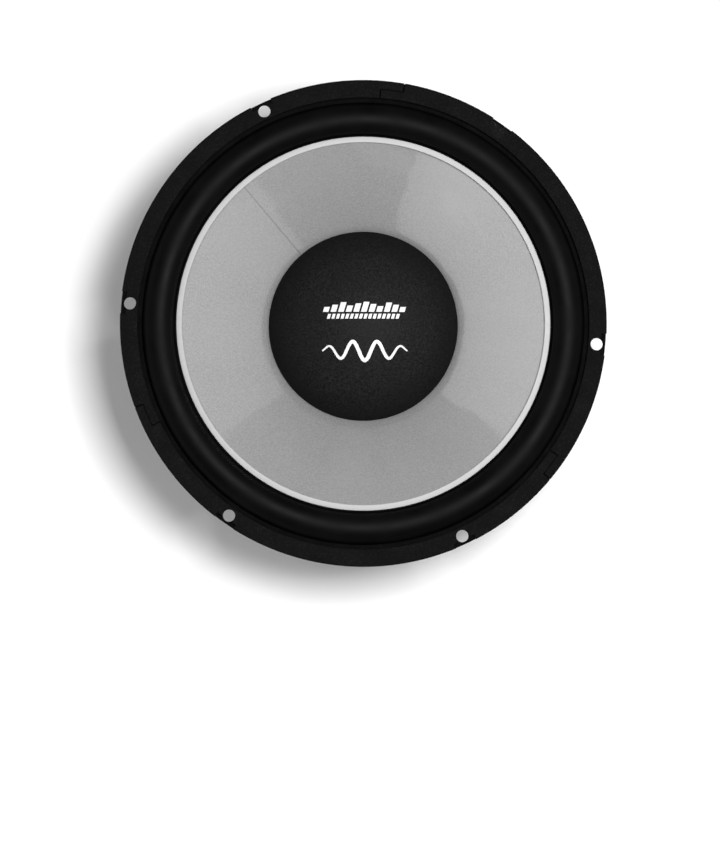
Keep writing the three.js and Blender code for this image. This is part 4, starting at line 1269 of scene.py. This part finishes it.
def vent_screen():
    """A round woven wire screen: two sets of threads that pass over and under each other."""
    z = (low("pole_vent_screen")[2] + high("pole_vent_screen")[2]) / 2
    radius, pitch, wire = 15.8, 1.05, 0.2
    threads = []
    count = int(radius / pitch)
    for axis in (0, 1):
        for i in range(-count, count + 1):
            place = i * pitch
            reach = math.sqrt(max(radius ** 2 - place ** 2, 1))
            t = np.arange(-reach, reach + 0.01, pitch / 4)
            lift = 0.2 * np.cos(math.pi * t / pitch + math.pi * (i % 2) + math.pi * axis)
            path = np.zeros((len(t), 3))
            path[:, axis] = t
            path[:, 1 - axis] = place
            path[:, 2] = z + lift
            threads.append(tube(path, wire, 5))
    wire_rim = lathe(circle(0.35, (radius + 0.1, z), 10), 120)
    edge = radius + 0.4
    backing = lathe([(12.4, z + 0.45), (edge, z + 0.45), (edge, z + 0.8), (12.4, z + 0.8)], 120)
    add_piece("vent_backing", backing, sponge, BASKET)
    add_piece("vent_screen", joined(wire_rim, *threads), mesh_black, BASKET,
              replaces=("pole_vent_screen",), merge=False)


yoke()
bevelled_ring("ring_magnet", MAGNET_BORE, magnet_radius, magnet_rear_z, magnet_front_z, 1.5,
              magnet_grey, ("magnet",))
bevelled_ring("front_plate", GAP_BORE, top_plate_radius, magnet_front_z, top_plate_front_z, 0.9,
              zinc, ("top_plate",))
label()
label_print()
vent_screen()


def basket_screws():
    """Pan heads with a cross recess, on the basket's floor."""
    for i in range(4):
        node = f"basket_screw_{i + 1}"
        lo, hi = low(node), high(node)
        x, y = (lo[0] + hi[0]) / 2, (lo[1] + hi[1]) / 2
        shank_top = top_plate_front_z + SHEET
        body = lathe(rounded([(0, lo[2]), (2.2, lo[2], 0.4), (2.2, shank_top), (4.5, shank_top, 0.3),
                              (4.2, hi[2] - 0.9, 0.9), (2.4, hi[2], 0.8), (1.6, hi[2]), (0, hi[2] - 1.2)],
                             closed=False), 36, closed=False)
        slots = [box_part((3.4, 0.8, 0.5), turn, (0, 0, hi[2] - 0.22)) for turn in (0, 90)]
        add_piece(f"screw_{i + 1}", moved(joined(body, *slots), shift=(x, y, 0)), screw_steel, BASKET,
                  replaces=(node,))


def box_part(size, turn=0.0, centre=(0, 0, 0)):
    x, y, z = (s / 2 for s in size)
    corners = np.array([(a, b, c) for a in (-x, x) for b in (-y, y) for c in (-z, z)], float)
    faces = [[0, 1, 3, 2], [4, 6, 7, 5], [0, 4, 5, 1], [2, 3, 7, 6], [0, 2, 6, 4], [1, 5, 7, 3]]
    return moved((corners, faces), turn, centre)


basket_screws()

# ---------------------------------------------------------------- spider and voice coil


def spider():
    skin, waves = 0.6, 4
    start, end = former_radius + 2.4, 76.0
    middle, height = 77.5, 1.6
    share = np.linspace(0, 1, 90)
    line = [(former_radius + 0.4, middle)]
    line += [(start + (end - start) * s, middle + height * math.sin(2 * math.pi * waves * s)) for s in share]
    line += [(78.6, SHELF_Z + 0.6), (82.2, SHELF_Z + 0.8)]
    path = rounded([(r, z, 0.8) for r, z in line], closed=False, steps=2)
    top = [(r, z + skin) for r, z in path][::-1]
    piece = add_piece("spider_disc", lathe([tuple(p) for p in path] + top, 240), spider_cloth, None,
                      replaces=("spider",), sharp=60)
    radial_blend(piece)


def voice_coil():
    low_z = low("voice_coil_former")[2]
    high_z = high("voice_coil_former")[2]
    inner = former_radius - 0.4
    wall = rounded([(inner, low_z), (former_radius, low_z), (former_radius, high_z), (inner, high_z)])
    add_piece("coil_former", lathe(wall, 160), amber, MOVING, replaces=("voice_coil_former",))
    turns = int((coil_high_z - coil_low_z) / 0.8)
    outer = high("voice_coil_winding")[0] - 0.4
    outline = [(former_radius + 0.1, coil_low_z)]
    for i in range(turns):
        for t in np.linspace(-math.pi / 2, math.pi / 2, 6):
            centre = coil_low_z + (i + 0.5) * (coil_high_z - coil_low_z) / turns
            outline.append((outer + 0.4 * math.cos(t), centre + 0.4 * math.sin(t)))
    outline.append((former_radius + 0.1, coil_high_z))
    add_piece("coil_winding", lathe(outline, 96), copper, MOVING, replaces=("voice_coil_winding",), sharp=80)
    lo, hi = low("neck_collar"), high("neck_collar")
    bead = rounded([
        (former_radius + 0.1, lo[2]), (hi[0] - 0.2, lo[2], 1), (hi[0] - 0.8, hi[2] - 1.6, 2),
        (former_radius + 0.1, hi[2]),
    ])
    add_piece("neck_glue", lathe(bead, 160), black_glue, MOVING, replaces=("neck_collar",))


spider()
voice_coil()

# ---------------------------------------------------------------- terminals and leads

board_rear_z = low("terminal_board")[2]
board_front_z = high("terminal_board")[2]
tag_rear_z = low("terminal_tag_left")[2]
tag_front_z = high("terminal_tag_left")[2]
TERMINAL_OFFSET = 14.7


def on_board(part):
    """Places a part drawn about the board's rivet."""
    return moved(part, BOARD_TILT, (0, -BOARD_RADIUS, 0))


def terminal_board():
    holes = [circle(RIVET_HOLE_RADIUS, (x, 0), 24) for x in (-TERMINAL_OFFSET, 0, TERMINAL_OFFSET)]
    outline = rounded_rectangle(40.6, 11.9, 1.2)
    board = on_board(plate([outline, *holes], board_front_z - board_rear_z - 0.1, 0.12, board_rear_z + 0.1))
    add_piece("terminal_board_body", board, board_red, BASKET, replaces=("terminal_board",))
    face = on_board(plate([rounded_rectangle(40.2, 11.5, 1.1), *holes], 0.12, 0.02, board_rear_z))
    add_piece("terminal_board_face", face, board_pale, BASKET)


def rivet(x, z0, z1, head=3.3):
    """A round-headed rivet with a rolled hollow end."""
    outline = rounded([
        (0, z0 + 0.6), (0.9, z0 + 0.5, 0.2), (1.1, z0 - 1.0, 0.3),
        (head, z0 - 0.75, 0.5), (head, z0 - 0.3, 0.2),
        (1.5, z0 - 0.3), (1.5, z1 + 0.3), (2.6, z1 + 0.3, 0.2), (2.4, z1 + 0.8, 0.5), (0, z1 + 1.0),
    ], closed=False)
    return on_board(moved(lathe(outline, 40, closed=False), shift=(x, 0, 0)))


def terminals():
    tab_top = TAB_UNDER_Z + SHEET
    add_piece("board_rivet_body", rivet(0, board_rear_z, tab_top, 1.9), screw_steel, BASKET,
              replaces=("board_rivet",))
    reach, half = 12.8, 2.0
    tag = [(-3, 3.4), (-3, -4), (-half, -5.2), (-half, -reach + 1.4), (-half + 1, -reach), (half - 1, -reach),
           (half, -reach + 1.4), (half, -5.2), (3, -4), (3, 3.4)]
    for side, x in (("left", -TERMINAL_OFFSET), ("right", TERMINAL_OFFSET)):
        outline = [(px + x, py) for px, py in tag]
        shape = [outline, circle(RIVET_HOLE_RADIUS, (x, 0), 24), circle(0.8, (x, -9.2), 16)]
        body = on_board(plate(shape, tag_front_z - tag_rear_z, 0.1, tag_rear_z))
        add_piece(f"tag_{side}", body, tinned, BASKET, replaces=(f"terminal_tag_{side}",))
        add_piece(f"tag_rivet_{side}", rivet(x, tag_rear_z, board_front_z), tinned, BASKET,
                  replaces=(f"terminal_rivet_{side}",))
        hollow = lathe([(0, tag_rear_z - 0.2), (1.35, tag_rear_z - 0.4), (1.2, tag_rear_z - 0.8),
                        (0.2, tag_rear_z - 0.5)], 24, closed=False)
        add_piece(f"rivet_hollow_{side}", on_board(moved(hollow, shift=(x, 0, 0))), black_glue, BASKET)
        mound = rounded([(0, -0.9), (1.0, -0.8, 0.4), (1.9, -0.2, 0.5), (2.1, 0.05)], closed=False)
        blob = on_board(moved(lathe(mound, 30, closed=False), shift=(x, -6.6, tag_rear_z)))
        add_piece(f"solder_{side}", blob, solder, BASKET)


def cone_rear_z(radius):
    return float(cone_z(radius)) - SKIN


ANCHOR_RADIUS = 66.0
ANCHOR_OFFSET = 14.0
anchor_y = -math.sqrt(ANCHOR_RADIUS ** 2 - ANCHOR_OFFSET ** 2)
anchor_z = cone_rear_z(ANCHOR_RADIUS)


def braid(path, radius, strand, turns):
    """Strands wound both ways round a path, each passing over and under the others."""
    strands = 4
    first, second = frames_along(path)
    share = np.linspace(0, 1, len(path))
    parts = []
    for way in (-1, 1):
        for i in range(strands):
            phase = 2 * math.pi * i / strands
            turn = way * 2 * math.pi * turns * share + phase
            lag = 0 if way > 0 else math.pi
            weave = radius + 0.3 * strand * np.sin(strands * 2 * math.pi * turns * share + lag)
            offset = np.cos(turn)[:, None] * first + np.sin(turn)[:, None] * second
            parts.append(tube(path + offset * weave[:, None], strand, 5))
    return parts


def leads():
    for side, sign in (("left", -1), ("right", 1)):
        path = smooth_path([
            (sign * 15, -114.2, tag_front_z + 1.2), (sign * 15.2, -115.4, 84), (sign * 15.4, -114, 89.5),
            (sign * 15.2, -106, 94.5), (sign * 14.8, -92, 96.5), (sign * 14.3, -78, 98),
            (sign * ANCHOR_OFFSET, anchor_y - 5, anchor_z - 4.0),
            (sign * ANCHOR_OFFSET, anchor_y - 0.8, anchor_z - 2.4),
        ], 170)
        parts = braid(path, 0.55, 0.3, 11)
        parts.append(tube(path, 0.5, 8))
        piece = add_piece(f"lead_{side}", joined(*parts), tinsel, None, replaces=(f"tinsel_lead_{side}",),
                          sharp=70, merge=False)
        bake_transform(piece)
        anchor(side, sign)


def anchor(side, sign):
    """The dab of black adhesive over the joint, and the flat coil lead from it to the neck."""
    turn = math.atan2(anchor_y, sign * ANCHOR_OFFSET)
    slope = math.atan2(cone_rear_z(71) - cone_rear_z(61), 10)
    u = np.linspace(0, math.pi, 16)
    v = np.linspace(0, 2 * math.pi, 30, endpoint=False)
    lumps = 1 + 0.07 * np.sin(3 * v[:, None] + sign) * np.sin(u[None, :])
    dome = np.stack([
        4.4 * np.cos(v)[:, None] * np.sin(u) * lumps, 3.1 * np.sin(v)[:, None] * np.sin(u) * lumps,
        np.broadcast_to(-1.0 * np.cos(u), (len(v), len(u))),
    ], axis=-1)
    centre = np.array([sign * ANCHOR_OFFSET, anchor_y, anchor_z - 0.9])
    placed = dome @ tilt_up(slope).T @ turn_about_z(turn).T + centre
    add_piece(f"lead_glue_{side}", grid(placed), black_glue, MOVING, replaces=(f"lead_anchor_{side}",))
    radii = np.linspace(62, 38.5, 30)
    height = cone_z(radii) - SKIN / 2 - 0.75
    path = polar(radii, turn, height)
    add_piece(f"coil_lead_{side}", tube(path, 0.45, 8), copper, MOVING, replaces=(f"coil_wire_{side}",))


terminal_board()
terminals()
leads()

# ---------------------------------------------------------------- sticker


def sticker():
    """A plain white label with a row of blue bars, stuck in the pocket of one spoke."""
    along = 30.0
    rise = (POCKET_HIGH_DEPTH - POCKET_LOW_DEPTH) / (POCKET_END - POCKET_START)
    depth = POCKET_LOW_DEPTH + rise * (along - POCKET_START) - 0.25
    slope = math.atan2(spoke_along.y, spoke_along.x) + math.atan(rise)
    centre_r = SPOKE_LOW[0] + spoke_along.x * along + spoke_inward.x * depth
    centre_z = SPOKE_LOW[1] + spoke_along.y * along + spoke_inward.y * depth
    tilt = tilt_up(slope)

    def laid(part, lift):
        vertices, faces = moved(part, 14)
        vertices = (np.asarray(vertices) + np.array([0, 0, lift])) @ tilt.T
        return moved((vertices + np.array([centre_r, 0, centre_z]), faces), 240)

    paper = plate([rounded_rectangle(8, 16.5, 1)], 0.15, 0.04, 0)
    add_piece("sticker_paper", laid(paper, 0), paper_white, BASKET, replaces=("inspection_sticker",))
    bars = [box_part((3.6, 1.5, 0.04), 0, (0.3, -4.6 + 2.2 * i, 0)) for i in range(5)]
    add_piece("sticker_bars", laid(joined(*bars), -0.03), blue_ink, BASKET)


sticker()

# ---------------------------------------------------------------- floor

FLOOR_REACH = 3000.0
ticks = np.linspace(-FLOOR_REACH, FLOOR_REACH, 13)
floor = add_piece("floor", grid(np.array([[(x, y, 0) for y in ticks] for x in ticks], float), wrap_u=False),
                  floor_paper(), None)
